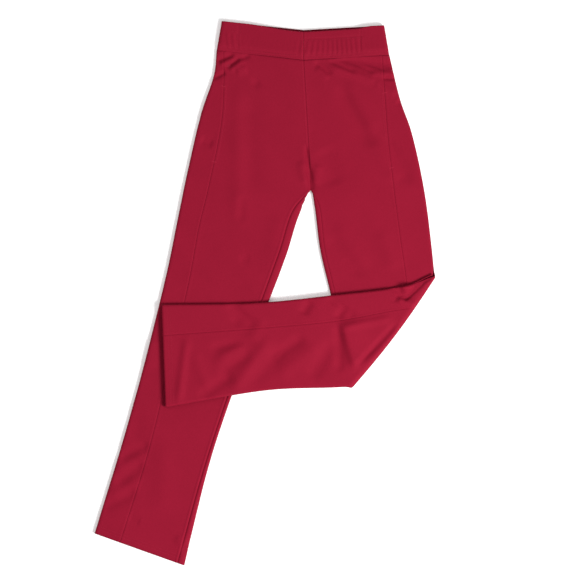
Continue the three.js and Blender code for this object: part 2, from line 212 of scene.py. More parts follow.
@dataclass(frozen=True)
class Plain:
    """A small part's finish: thread, or the woven label, with a fine grain on its own coordinates.

    Attributes:
        name: The material's name.
        slot: The record's slot it belongs to.
        colour: Linear base colour.
        deep: Linear colour of the darker grain.
        roughness: Surface roughness.
        grain: Scale of the grain, per metre.
    """

    name: str
    slot: Slot
    colour: tuple[float, float, float]
    deep: tuple[float, float, float]
    roughness: float
    grain: float

    def material(self) -> bpy.types.Material:
        """Makes the node material.

        Returns:
            The new material.
        """
        made = bpy.data.materials.new(self.name)
        made.use_nodes = True
        tree = made.node_tree
        shader = tree.nodes["Principled BSDF"]
        shader.inputs["Roughness"].default_value = self.roughness
        shader.inputs["Specular IOR Level"].default_value = 0.12
        where = tree.nodes.new("ShaderNodeTexCoord")
        noise = tree.nodes.new("ShaderNodeTexNoise")
        noise.inputs["Scale"].default_value = self.grain
        tree.links.new(where.outputs["Object"], noise.inputs["Vector"])
        shades = tree.nodes.new("ShaderNodeValToRGB")
        shades.color_ramp.elements[0].color = (*self.deep, 1.0)
        shades.color_ramp.elements[1].color = (*self.colour, 1.0)
        tree.links.new(noise.outputs["Fac"], shades.inputs["Fac"])
        tree.links.new(shades.outputs["Color"], shader.inputs["Base Color"])
        return made


class Finishes:
    """Every finish of the garment, made once."""

    def __init__(self) -> None:
        """Makes the materials."""
        kinds = (
            Knit("crimson_double_knit", Slot.SHELL, (0.246, 0.0062, 0.0238), (0.214, 0.0050, 0.0200)),
            Knit("crimson_facing_knit", Slot.FACING, (0.30, 0.011, 0.033), (0.25, 0.009, 0.027)),
            Knit(
                "crimson_pocket_tricot",
                Slot.LINING,
                (0.26, 0.010, 0.030),
                (0.22, 0.008, 0.025),
                wale=0.0016,
                relief=0.6,
            ),
            Plain(
                "crimson_sewing_thread",
                Slot.THREAD,
                (0.35, 0.010, 0.036),
                (0.27, 0.007, 0.027),
                roughness=0.6,
                grain=900.0,
            ),
            Knit(
                "white_braided_elastic",
                Slot.ELASTIC,
                (0.80, 0.78, 0.75),
                (0.70, 0.68, 0.65),
                wale=0.0024,
                relief=0.9,
            ),
            Plain(
                "white_woven_label",
                Slot.LABEL,
                (0.84, 0.83, 0.80),
                (0.76, 0.75, 0.72),
                roughness=0.55,
                grain=700.0,
            ),
        )
        self._made = {kind.slot: kind.material() for kind in kinds}

    def dress(self, piece: bpy.types.Object, slot: Slot) -> None:
        """Gives a piece the finish of its slot.

        Args:
            piece: The piece.
            slot: The slot, which has one finish.
        """
        piece.data.materials.clear()
        piece.data.materials.append(self._made[slot])


# ---------------------------------------------------------------- smooth lines


def ease(amount: np.ndarray) -> np.ndarray:
    """A smooth step from 0 to 1."""
    share = np.clip(amount, 0.0, 1.0)
    return share * share * (3.0 - 2.0 * share)


def smooth_line(points: np.ndarray, steps: int = 14) -> np.ndarray:
    """A smooth line through a few points, spaced so that it never doubles back.

    Args:
        points: The points, one row each.
        steps: Straight pieces between two points.

    Returns:
        The line's points, one row each.
    """
    gaps = np.sqrt(np.linalg.norm(np.diff(points, axis=0), axis=1))
    knots = np.concatenate([[0.0], np.cumsum(gaps)])
    slopes = np.gradient(points, knots, axis=0)
    pieces = []
    for index, gap in enumerate(gaps):
        share = np.linspace(0.0, 1.0, steps, endpoint=False)[:, None]
        start, end = points[index], points[index + 1]
        leave, arrive = slopes[index] * gap, slopes[index + 1] * gap
        square, cube = share**2, share**3
        pieces.append(
            start * (2 * cube - 3 * square + 1)
            + leave * (cube - 2 * square + share)
            + end * (3 * square - 2 * cube)
            + arrive * (cube - square)
        )
    return np.vstack([*pieces, points[-1:]])


# ---------------------------------------------------------------- folds in the cloth


@dataclass(frozen=True)
class Crease:
    """A ridge, or with a negative height a valley, between two places on the floor plan.

    Attributes:
        start: One end, in millimetres in the object's frame.
        end: The other end.
        width: How far from its line it reaches.
        height: How far it stands up, or sinks in.
        spread: How many times further it reaches on the right, looking from its start to its end.
    """

    start: tuple[float, float]
    end: tuple[float, float]
    width: float
    height: float
    spread: float = 1.0

    def rise(self, x: np.ndarray, y: np.ndarray) -> np.ndarray:
        """How far the crease lifts the cloth.

        Args:
            x: Places across.
            y: Places up.

        Returns:
            The lift at each place, in millimetres.
        """
        run = np.array(self.end) - np.array(self.start)
        length = float(np.hypot(*run))
        along = ((x - self.start[0]) * run[0] + (y - self.start[1]) * run[1]) / length
        aside = ((x - self.start[0]) * run[1] - (y - self.start[1]) * run[0]) / length
        taper = max(self.width, 0.3 * length)
        ends = ease((along + 0.5 * taper) / taper) * ease((length - along + 0.5 * taper) / taper)
        reach = np.where(aside > 0, self.width * self.spread, self.width)
        return self.height * ends * np.exp(-((aside / reach) ** 2))


@dataclass(frozen=True)
class Drape:
    """All the creases of one layer, with the slow unevenness of cloth that isn't pulled tight.

    Attributes:
        creases: The ridges and valleys.
        unevenness: Height of the slow waves.
        strength: What every crease's height is multiplied by.
        deepest: How deep the deepest valley may be, before it would reach the layer below.
    """

    creases: tuple[Crease, ...]
    unevenness: float = 0.45
    strength: float = 1.9
    deepest: float = 4.5

    def rise(self, x: np.ndarray, y: np.ndarray) -> np.ndarray:
        """How far the layer is lifted, or sunk where it is negative.

        Args:
            x: Places across, in millimetres in the object's frame.
            y: Places up.

        Returns:
            The lift at each place, in millimetres.
        """
        waves = np.sin(x / 37.0 + 0.8 * np.sin(y / 61.0)) * np.cos(y / 71.0 + x / 140.0)
        ripples = np.sin((x + 0.6 * y) / 19.0) * np.sin(y / 43.0 + 1.1)
        total = self.unevenness * (waves + 0.45 * ripples)
        for crease in self.creases:
            total = total + self.strength * crease.rise(x, y)
        depth = np.maximum(-total, 0.0)
        return np.maximum(total, 0.0) - depth / (1.0 + (depth / self.deepest) ** 4) ** 0.25


# Folds on the front of the trunk and both thighs.
FRONT_DRAPE = Drape(
    (
        # wearer's right hip, running down and inwards from the side
        Crease((-92, 466), (-62, 478), 5, -2.2),
        Crease((-86, 458), (-60, 470), 4, 1.6),
        Crease((-74, 453), (-48, 471), 4.5, -2.0),
        Crease((-66, 448), (-40, 468), 5, 1.5),
        Crease((-46, 468), (-30, 478), 5, -1.6),
        Crease((-100, 431), (-78, 442), 4, -2.2),
        Crease((-54, 445), (-36, 452), 9, 1.6),
        Crease((-22, 417), (-10, 424), 9, -1.0),
        # wearer's left hip
        Crease((104, 462), (134, 440), 5, -1.5),
        Crease((106, 450), (128, 432), 7, 1.0),
        Crease((152, 470), (272, 456), 6, -2.8, 1.5),
        Crease((134, 464), (180, 444), 4.5, -1.6),
        Crease((134, 454), (228, 424), 9, 1.8),
        Crease((214, 440), (262, 440), 6, 1.2),
        Crease((176, 462), (220, 442), 3, -0.9),
        Crease((204, 462), (244, 446), 3, -0.9),
        Crease((240, 431), (266, 430), 3.5, -2.2),
        Crease((268, 385), (284, 378), 7, -1.2),
        Crease((225, 420), (262, 400), 9, 1.2),
        # down the centre, deeper towards the crotch
        Crease((85, 290), (94, 212), 3.5, -2.8),
        Crease((90, 250), (95, 206), 6, -2.6),
        Crease((74, 262), (84, 222), 9, 1.2),
        Crease((108, 256), (104, 222), 9, 1.0),
        # right thigh and knee
        Crease((-50, 403), (-50, 150), 17, 1.3),
        Crease((-36, 380), (-24, 220), 24, -0.9),
        Crease((-44, 192), (-46, 146), 9, -0.9),
        Crease((-30, 70), (-46, 66), 9, -0.7),
        Crease((-124, 307), (-104, 300), 9, -1.3),
        Crease((30, 150), (16, 40), 20, 0.9),
        # left thigh
        Crease((120, 284), (142, 222), 20, -1.4),
        Crease((154, 405), (208, 305), 14, -1.6),
        Crease((170, 420), (222, 330), 16, 1.3),
        Crease((242, 310), (290, 226), 14, -1.3),
        Crease((224, 300), (262, 230), 17, 1.1),
        Crease((134, 106), (170, 62), 13, -0.9),
        Crease((168, 64), (208, 18), 13, -0.9),
        Crease((150, 130), (206, 62), 15, 0.8),
        Crease((236, 120), (262, 52), 16, 0.9),
    )
)

# Folds on the lower half of the right leg.
CALF_DRAPE = Drape(
    (
        Crease((-286, -328), (-234, -303), 10, -1.4),
        Crease((-292, -352), (-242, -324), 10, 0.9),
        Crease((-292, -379), (-244, -343), 12, -1.3),
        Crease((-304, -404), (-252, -372), 11, 0.9),
        Crease((-320, -428), (-260, -399), 11, -1.3),
        Crease((-268, -448), (-250, -458), 7, -0.7),
        Crease((-228, -94), (-230, -145), 15, 1.4),
        Crease((-252, -240), (-256, -300), 16, -0.7),
        Crease((-170, -486), (-166, -504), 9, 1.2),
        Crease((-160, -506), (-157, -520), 5, -1.6),
        Crease((-200, -300), (-206, -430), 22, 0.8),
    )
)

# Folds on the back of the left lower leg, which lies uppermost once it is folded over.
SHIN_DRAPE = Drape(
    (
        # dents along the strip above the side seam
        Crease((78, -40), (92, -16), 9, -1.5),
        Crease((148, -48), (162, -26), 8, -1.4),
        Crease((-58, -62), (-46, -36), 11, -0.9),
        Crease((104, -8), (170, -42), 9, 0.8),
        Crease((130, -10), (178, -42), 8, -1.0),
        Crease((-68, -24), (-20, -64), 11, -1.1),
        Crease((-46, -22), (2, -60), 10, 0.7),
        # the big fold beside the knee, steep towards the hem and gentle towards the knee
        Crease((182, -144), (158, -62), 8, 2.6, 5.0),
        Crease((160, -66), (250, -50), 8, 1.2),
        Crease((149, -70), (152, -150), 9, -1.6),
        Crease((192, -138), (262, -64), 6, -1.8),
        Crease((206, -150), (280, -72), 6, 1.2),
        # pulls across the middle of the leg
        Crease((-92, -134), (-10, -78), 12, 1.3),
        Crease((-60, -190), (8, -94), 14, 1.5),
        Crease((-84, -158), (-30, -122), 11, -0.9),
        Crease((14, -130), (76, -90), 11, -1.4),
        Crease((-100, -108), (-24, -94), 10, -1.2),
        Crease((-124, -204), (-66, -164), 12, -1.4),
        Crease((-20, -176), (36, -118), 14, -0.8),
        Crease((34, -160), (104, -104), 15, 1.0),
        Crease((96, -166), (136, -100), 14, -1.4),
        # beside the hem
        Crease((-170, -212), (-154, -94), 8, 1.4),
        Crease((-140, -120), (-112, -190), 12, 0.8),
        # the pinch at the knee's outer corner
        Crease((252, 15), (284, -10), 4.5, -3.6),
        Crease((262, -16), (276, 8), 5, -1.6),
        Crease((283, -10), (316, 22), 4.5, -3.4),
        Crease((298, 15), (334, 32), 4, -2.4),
        Crease((276, 10), (296, 16), 6, 2.0),
        Crease((262, -10), (304, -24), 8, 1.8),
        Crease((150, 12), (250, 26), 5, 1.6),
    ),
    unevenness=0.7,
    strength=2.3,
    deepest=3.7,
)

# What lies under the folded leg is pressed flat: the corners of that area, in order.
PRESSED = np.array([(-206.0, -18.0), (345.0, 50.0), (196.0, -196.0), (-174.0, -236.0)])


def unpressed(x: np.ndarray, y: np.ndarray) -> np.ndarray:
    """0 under the folded leg, 1 a little way outside it.

    Args:
        x: Places across, in millimetres in the object's frame.
        y: Places up.

    Returns:
        The share of its height that a crease keeps at each place.
    """
    deepest = np.full(np.shape(x), 1e9)
    for start, end in zip(PRESSED, np.roll(PRESSED, -1, axis=0)):
        run = (end - start) / np.linalg.norm(end - start)
        inside = (x - start[0]) * run[1] - (y - start[1]) * run[0]
        deepest = np.minimum(deepest, inside)
    return ease(-deepest / 16.0)


# ---------------------------------------------------------------- sheets of cloth


@dataclass
class Layout:
    """A sheet's points in rows and columns, in millimetres, and its place in the cut cloth.

    Attributes:
        points: Rows by columns by three.
        cut: Rows by columns by two, the same points on the flat cloth.
    """

    points: np.ndarray
    cut: np.ndarray

    @staticmethod
    def _area(grid: np.ndarray) -> float:
        """Area of a flat grid of points.

        Args:
            grid: Rows by columns by two.

        Returns:
            The area, in the grid's own unit squared.
        """
        across = grid[1:, 1:] - grid[:-1, :-1]
        along = grid[1:, :-1] - grid[:-1, 1:]
        return float(np.abs(across[..., 0] * along[..., 1] - across[..., 1] * along[..., 0]).sum() / 2)


def make_sheet(
    name: str, layout: Layout, thickness: float, closed: bool = False, smoothing: int = 0
) -> bpy.types.Object:
    """Makes a sheet of cloth from its layout.

    Args:
        name: The piece's name.
        layout: Its points.
        thickness: Cloth thickness in millimetres.
        closed: Whether its first and last columns are the same line.
        smoothing: Levels of subdivision, for a sheet with few rows.

    Returns:
        The new object, with its wall and smoothing as modifiers.
    """
    rows, columns = layout.points.shape[:2]
    model = bmesh.new()
    bmesh.ops.create_grid(model, x_segments=columns - 1, y_segments=rows - 1, size=0.5)
    uv = model.loops.layers.uv.new("cloth")
    model.verts.ensure_lookup_table()
    places = np.array([vertex.co[:2] for vertex in model.verts]) + 0.5
    column = np.rint(places[:, 0] * (columns - 1)).astype(int)
    row = np.rint(places[:, 1] * (rows - 1)).astype(int)
    for vertex, place, cut in zip(model.verts, layout.points[row, column], layout.cut[row, column]):
        vertex.co = Vector(place * MM)
        for loop in vertex.link_loops:
            loop[uv].uv = cut * MM
    if closed:
        bmesh.ops.remove_doubles(model, verts=model.verts, dist=0.00002)
    for face in model.faces:
        face.smooth = True
    mesh = bpy.data.meshes.new(name)
    model.to_mesh(mesh)
    model.free()
    piece = bpy.data.objects.new(name, mesh)
    bpy.context.scene.collection.objects.link(piece)
    wall = piece.modifiers.new("wall", "SOLIDIFY")
    wall.thickness = thickness * MM
    wall.offset = 0.0
    if smoothing:
        finer = piece.modifiers.new("smoothing", "SUBSURF")
        finer.levels = smoothing
        finer.render_levels = smoothing
    return piece


# ---------------------------------------------------------------- legs


@dataclass(frozen=True)
class Station:
    """How far outwards of a leg's centre line its edges and seams lie, at one drop.

    Attributes:
        drop: Distance down the leg from the height of the crotch.
        outer: The outer edge.
        front_seam: The seam between front and side panel.
        back_seam: The seam between back and side panel.
        inseam: The inner leg seam, which lies on the front.
        inner: The inner edge.
    """

    drop: float
    outer: float
    front_seam: float
    back_seam: float
    inseam: float = math.nan
    inner: float = math.nan


RISE = 260.0  # from the crotch up to the waistband's seam
CENTRE_LEAN = -15.0  # how far aside the centre seam's top lies
BAND_DEPTH = 60.0
BAND_FLARE = 10.0  # how much further the band reaches at its seam than at its top
BAND_REACH = {-1: 164.0, 1: 162.0}  # from the centre seam to the band's end, on each side
BAND_DIP = {-1: 19.0, 1: 10.0}  # how far the band's seam dips at the centre, on each side
CLOTH = 1.1  # thickness of the shell's cloth
LOW_LAYER = 0.6  # height of the middle of the cloth that lies on the floor
TOP_LAYER = 9.0  # height of the middle of the cloth on the upper side of a leg
EDGE_ROUND = 4.2  # how far in from its edge a leg's cloth starts to turn round
GROOVE = 0.32  # how far cloth dips into a seam


@dataclass(frozen=True)
class Knee:
    """The fold across the left leg, in plan, with the hinge at the height it turns about.

    Attributes:
        outer: Where it meets the outer edge.
        inner: Where it meets the inner edge.
        leg_way: Direction down the leg laid straight.
        height: The hinge's height.
        reach: How far each side of the fold the cloth gives to go round it.
        bulge: How far the cloth stands out past the fold, as a share of its distance from the hinge.
        bow: How much further it stands out halfway along the fold.
        change: Over what distance the cloth's slide changes from along the thigh to along the shin.
    """

    outer: np.ndarray
    inner: np.ndarray
    leg_way: np.ndarray
    height: float = 9.85
    reach: float = 30.0
    bulge: float = 0.72
    bow: float = 6.0
    change: float = 8.0

    def down_leg(self) -> np.ndarray:
        """Direction across the fold, towards the hem of the leg laid straight."""
        along = (self.inner - self.outer) / np.linalg.norm(self.inner - self.outer)
        return np.array([-along[1], along[0]])

    def _halfway(self, points: np.ndarray) -> np.ndarray:
        """Tells how close places are to the middle of the fold's length.

        Args:
            points: Places on the leg laid straight.

        Returns:
            1 halfway along the fold, 0 at its ends and past them.
        """
        fold = self.inner - self.outer
        share = (points[..., :2] - self.outer) @ fold / float(fold @ fold)
        return np.sin(np.clip(share, 0.0, 1.0) * math.pi)

    def turn_over(self, points: np.ndarray, bent: bool) -> np.ndarray:
        """Folds the part below the knee over the thigh.

        Args:
            points: Places on the leg laid straight.
            bent: Whether the cloth runs round the fold, instead of being turned over whole.

        Returns:
            The same places with the leg folded.
        """
        down = self.down_leg()
        past = (points[..., :2] - self.outer) @ down
        height = points[..., 2]
        far = np.maximum(self.height - height, 0.3)
        back = far * (1.0 - self.bulge)
        length = 2.0 * (self.reach - back) + math.pi * far
        run = (past / self.reach + 1.0) / 2.0 * length
        straight = self.reach - back
        angle = np.clip((run - straight) / far, 0.0, math.pi)
        beyond = np.maximum(run - straight - math.pi * far, 0.0)
        bent_past = np.where(run < straight, run - self.reach, far * np.sin(angle) - back - beyond)
        bent_height = self.height - far * np.cos(angle)
        turned_past = -past
        turned_height = 2.0 * self.height - height
        if bent:
            near = np.abs(past) < self.reach
            bent_past = bent_past + self.bow * self._halfway(points) * ease(1.0 - np.abs(past) / self.reach)
            new_past = np.where(near, bent_past, np.where(past > 0, turned_past, past))
            new_height = np.where(near, bent_height, np.where(past > 0, turned_height, height))
        else:
            new_past, new_height = turned_past, turned_height
        moved = points.copy()
        moved[..., :2] += (new_past - past)[..., None] * down
        moved[..., 2] = new_height
        if bent:
            slid = np.where(near, bent_past + np.abs(past), 0.0)
            slant = self.leg_way / float(self.leg_way @ down) - down
            moved[..., :2] -= (slid * np.tanh(past / self.change))[..., None] * slant
        return moved


@dataclass
class Leg:
    """One leg with its half of the trunk, as a flattened tube in its own frame.

    Attributes:
        side: -1 for the wearer's right leg, 1 for the left.
        centre: Where its centre line passes the height of the crotch.
        lean: How far it leans outwards, in degrees.
        length: From the height of the crotch to the hem.
        at_band: How far in from the waistband's end each edge and seam starts.
        stations: Its widths, from the hips down.
        hem: Its widths at the hem.
        hem_skew: How much lower the hem lies at the inner edge.
    """

    side: int
    centre: float
    lean: float
    length: float
    at_band: dict[str, float]
    stations: tuple[Station, ...]
    hem: Station
    hem_skew: float = 5.0
    lines: dict[str, np.ndarray] = field(default_factory=dict)
    keys: dict[str, list[float]] = field(default_factory=dict)

    def plan(self, drop: np.ndarray, across: np.ndarray) -> np.ndarray:
        """Turns places in the leg's frame into places in plan.

        Args:
            drop: Distances down the leg.
            across: Distances outwards from its centre line.

        Returns:
            The places, with x and y last.
        """
        lean = math.radians(self.lean)
        x = self.centre + self.side * (drop * math.sin(lean) + across * math.cos(lean))
        y = across * math.sin(lean) - drop * math.cos(lean)
        return np.stack([x, y], axis=-1)

    def own(self, places: np.ndarray) -> np.ndarray:
        """Turns places in plan into places in the leg's frame.

        Args:
            places: The places, with x and y last.

        Returns:
            The same places, with drop and across last.
        """
        lean = math.radians(self.lean)
        outwards = self.side * (places[..., 0] - self.centre)
        drop = outwards * math.sin(lean) - places[..., 1] * math.cos(lean)
        across = outwards * math.cos(lean) + places[..., 1] * math.sin(lean)
        return np.stack([drop, across], axis=-1)

    def hem_drop(self, across: np.ndarray, up: float = 0.0) -> np.ndarray:
        """Drop of a line some way up from the hem."""
        return self.length - up - self.hem_skew * across / self.hem.outer

    def band_place(self, edge: str) -> np.ndarray:
        """Where an edge or seam meets the waistband's seam, in plan."""
        reach = BAND_REACH[self.side] + BAND_FLARE - self.at_band[edge]
        return np.array([CENTRE_LEAN + self.side * reach, RISE + BAND_DIP[self.side]])

    def below_crotch(self) -> np.ndarray:
        """The first place down the inner edge, in plan."""
        first = next(spot for spot in self.stations if not math.isnan(spot.inner))
        return self.plan(np.array(first.drop), np.array(first.inner))

    def draw(self, across_the_crotch: np.ndarray, knee: Knee | None) -> None:
        """Draws the leg's edges and seams.

        Args:
            across_the_crotch: The other leg's first place down its inner edge, in plan.
            knee: The fold across the leg, if it has one.
        """
        for edge in ("outer", "front_seam", "back_seam", "inseam", "inner"):
            spots = [
                self.plan(np.array(spot.drop), np.array(getattr(spot, edge)))
                for spot in self.stations
                if not math.isnan(getattr(spot, edge))
            ]
            end = getattr(self.hem, edge)
            spots.append(self.plan(self.hem_drop(np.array(end)), np.array(end)))
            if edge in self.at_band:
                line = self.own(smooth_line(np.array([self.band_place(edge), *spots])))
                middle = 0.0
            else:
                ahead = [across_the_crotch] if edge == "inner" else []
                rounded = smooth_line(np.array([*ahead, np.zeros(2), *spots]))
                below = self.own(rounded[14 * len(ahead) :])
                top = self.own(np.array([CENTRE_LEAN, RISE]))
                line = np.vstack([top, below])
                middle = float(below[0, 0])
            self.lines[edge] = line
            self.keys[edge] = [float(line[0, 0]), middle, float(line[-1, 0])]
            if knee is not None:
                past = (self.plan(line[:, 0], line[:, 1]) - knee.outer) @ knee.down_leg()
                crossing = float(np.interp(0.0, past, line[:, 0]))
                give = knee.reach / float(self.down() @ knee.down_leg())
                self.keys[edge][2:2] = [crossing - give, crossing, crossing + give]

    def down(self) -> np.ndarray:
        """Direction down the leg, in plan."""
        lean = math.radians(self.lean)
        return np.array([self.side * math.sin(lean), -math.cos(lean)])

    def at(self, edge: str, levels: np.ndarray) -> np.ndarray:
        """Places in plan where an edge or seam passes each level.

        Args:
            edge: The edge or seam.
            levels: Levels, whole numbers at the leg's keys: the band, the crotch, the knee, the hem.

        Returns:
            The places, one row each.
        """
        drops = np.interp(levels, np.arange(len(self.keys[edge])), self.keys[edge])
        return self.plan(drops, np.interp(drops, self.lines[edge][:, 0], self.lines[edge][:, 1]))


RIGHT_LEG = Leg(
    side=-1,
    centre=-127.0,
    lean=16.7,
    length=751.0,
    at_band={"outer": 0.0, "front_seam": 14.0, "back_seam": 47.0},
    stations=(
        Station(-205, 131, 111, 82),
        Station(-120, 133, 90, 76),
        Station(10, 125, 77, 70, -99, -114),
        Station(100, 117, 72, 62, -96, -113),
        Station(200, 108, 61, 53, -90, -106),
        Station(400, 98, 48, 43, -80, -89),
        Station(560, 95, 40, 40, -76, -85),
    ),
    hem=Station(751, 96, 42, 37, -80, -95),
)
LEFT_LEG = Leg(
    side=1,
    centre=114.0,
    lean=10.6,
    length=741.0,
    at_band={"outer": 0.0, "front_seam": 15.0, "back_seam": 51.0},
    stations=(
        Station(-165, 97, 66, 43),
        Station(-100, 107, 59, 50),
        Station(10, 111, 51, 55, -102, -111),
        Station(100, 107, 46, 50, -107, -116),
        Station(186, 98, 42, 43, -103, -112),
        Station(240, 81, 36, 37, -102, -111),
        Station(390, 75, 24, 23, -101, -110),
        Station(540, 74, 22, 23, -93, -102),
    ),
    hem=Station(741, 89, 34, 27, -102, -117),
)
KNEE = Knee(
    outer=LEFT_LEG.plan(np.array(188.0), np.array(99.0)),
    inner=LEFT_LEG.plan(np.array(380.0), np.array(-111.0)),
    leg_way=LEFT_LEG.down(),
)


class Panel(Enum):
    """The three panels of a leg."""

    FRONT = "front"
    SIDE = "side"
    BACK = "back"


@dataclass
class Tube:
    """Lays sheets round a flattened leg.

    Attributes:
        leg: The leg.
        inset: How far inside the leg's outside the middle of the cloth lies.
    """

    leg: Leg
    inset: float = LOW_LAYER

    def edge(self, edge: str, levels: np.ndarray, quarters: tuple[int, int]) -> np.ndarray:
        """Rounded edge of the tube, from the floor up.

        Args:
            edge: "outer" or "inner".
            levels: Levels down the leg.
            quarters: From which quarter turn to which: 0 is underneath, 1 the side, 2 on top.

        Returns:
            Rows by steps by three.
        """
        place = self.leg.at(edge, levels)
        other = self.leg.at("inner" if edge == "outer" else "outer", levels)
        inwards = (other - place) / np.linalg.norm(other - place, axis=1)[:, None]
        grown = self._opened(levels) if edge == "inner" else np.ones(len(levels))
        turns = np.linspace(quarters[0], quarters[1], 4 * (quarters[1] - quarters[0]) + 1) * math.pi / 2
        middle = (LOW_LAYER + TOP_LAYER) / 2
        radius = (EDGE_ROUND - (self.inset - LOW_LAYER)) * grown
        depth = self.inset * grown + radius
        away = depth[:, None] - radius[:, None] * np.sin(turns)
        flat = place[:, None, :] + inwards[:, None, :] * away[..., None]
        tall = (TOP_LAYER - LOW_LAYER) / 2 - (self.inset - LOW_LAYER)
        rise = middle - tall * np.cos(turns)[None, :] * np.ones((len(levels), 1))
        low = self.inset + (rise - self.inset) * grown[:, None]
        return np.concatenate([flat, low[..., None]], axis=2)

    @staticmethod
    def _opened(levels: np.ndarray) -> np.ndarray:
        """How far the inner edge has opened out, from 0 just above the crotch to 1 just below it."""
        return ease((levels - 0.99) / 0.025)

    def _seam(self, edge: str, levels: np.ndarray, height: float) -> np.ndarray:
        """A seam's places at one height, as rows by one by three."""
        flat = self.leg.at(edge, levels)
        return np.concatenate([flat, np.full((len(levels), 1), height)], axis=1)[:, None, :]

    def path(self, panel: Panel, half: Half, levels: np.ndarray) -> np.ndarray:
        """The way a panel's cloth goes across the leg, at each level.

        Args:
            panel: The panel.
            half: The half of the tube that is wanted.
            levels: Levels down the leg.

        Returns:
            Rows by steps by three.
        """
        low = self.inset
        top = LOW_LAYER + TOP_LAYER - self.inset
        quarters = {Half.WHOLE: (0, 2), Half.BACK: (0, 1), Half.FRONT: (1, 2)}[half]
        if panel is Panel.FRONT:
            parts = [self._seam("front_seam", levels, top), self._seam("inseam", levels, top)]
        elif panel is Panel.SIDE:
            parts = [self.edge("outer", levels, quarters)]
            if half is not Half.FRONT:
                parts.insert(0, self._seam("back_seam", levels, low))
            if half is not Half.BACK:
                parts.append(self._seam("front_seam", levels, top))
        else:
            parts = [self.edge("inner", levels, quarters)]
            if half is not Half.FRONT:
                parts.insert(0, self._seam("back_seam", levels, low))
            if half is not Half.BACK:
                wrapped = self._seam("inseam", levels, top)
                wrapped[..., 2] = low + (top - low) * self._opened(levels)[:, None]
                parts.append(wrapped)
        return np.concatenate(parts, axis=1)


def spread(path: np.ndarray, columns: int, seams: tuple[bool, bool]) -> tuple[np.ndarray, np.ndarray]:
    """Spaces a sheet's columns evenly along its path, with a few close together beside a seam.

    Args:
        path: Rows by steps by three.
        columns: How many columns the middle has.
        seams: Whether the path's start and its end lie in a seam.

    Returns:
        The points, rows by columns by three, and each one's distance along its row.
    """
    beside = [0.0, 1.0, 2.2, 4.0]
    points, distances = [], []
    for row in path:
        steps = np.linalg.norm(np.diff(row, axis=0), axis=1)
        run = np.concatenate([[0.0], np.cumsum(steps)])
        total = run[-1]
        start = [d for d in beside if seams[0]] or [0.0]
        end = [total - d for d in reversed(beside) if seams[1]] or [total]
        if total < 20.0:
            where = np.linspace(0.0, total, len(start) + columns + len(end))
        else:
            where = np.concatenate([start, np.linspace(start[-1], end[0], columns + 2)[1:-1], end])
        where = np.asarray(where)
        points.append(np.stack([np.interp(where, run, row[:, axis]) for axis in range(3)], axis=1))
        distances.append(where)
    return np.array(points), np.array(distances)


def dip(distances: np.ndarray, seams: tuple[bool, bool], strong: np.ndarray | float = 1.0) -> np.ndarray:
    """How deep cloth dips beside the seams at a path's ends, with a low ridge next to the dip.

    Args:
        distances: Each point's distance along its row.
        seams: Whether the rows start and end in a seam.
        strong: How much deeper than the others the seam at the end is, in each row.

    Returns:
        The depth at each point, in millimetres.
    """
    depth = np.zeros_like(distances)
    for at_seam, away, factor in (
        (seams[0], distances, 1.0),
        (seams[1], distances[:, -1:] - distances, strong),
    ):
        if at_seam:
            ridge = 0.9 * np.exp(-(((away - 3.0) / 1.7) ** 2))
            depth += factor * (np.exp(-((away / (1.1 * factor**0.5)) ** 2)) - ridge)
    return GROOVE * depth


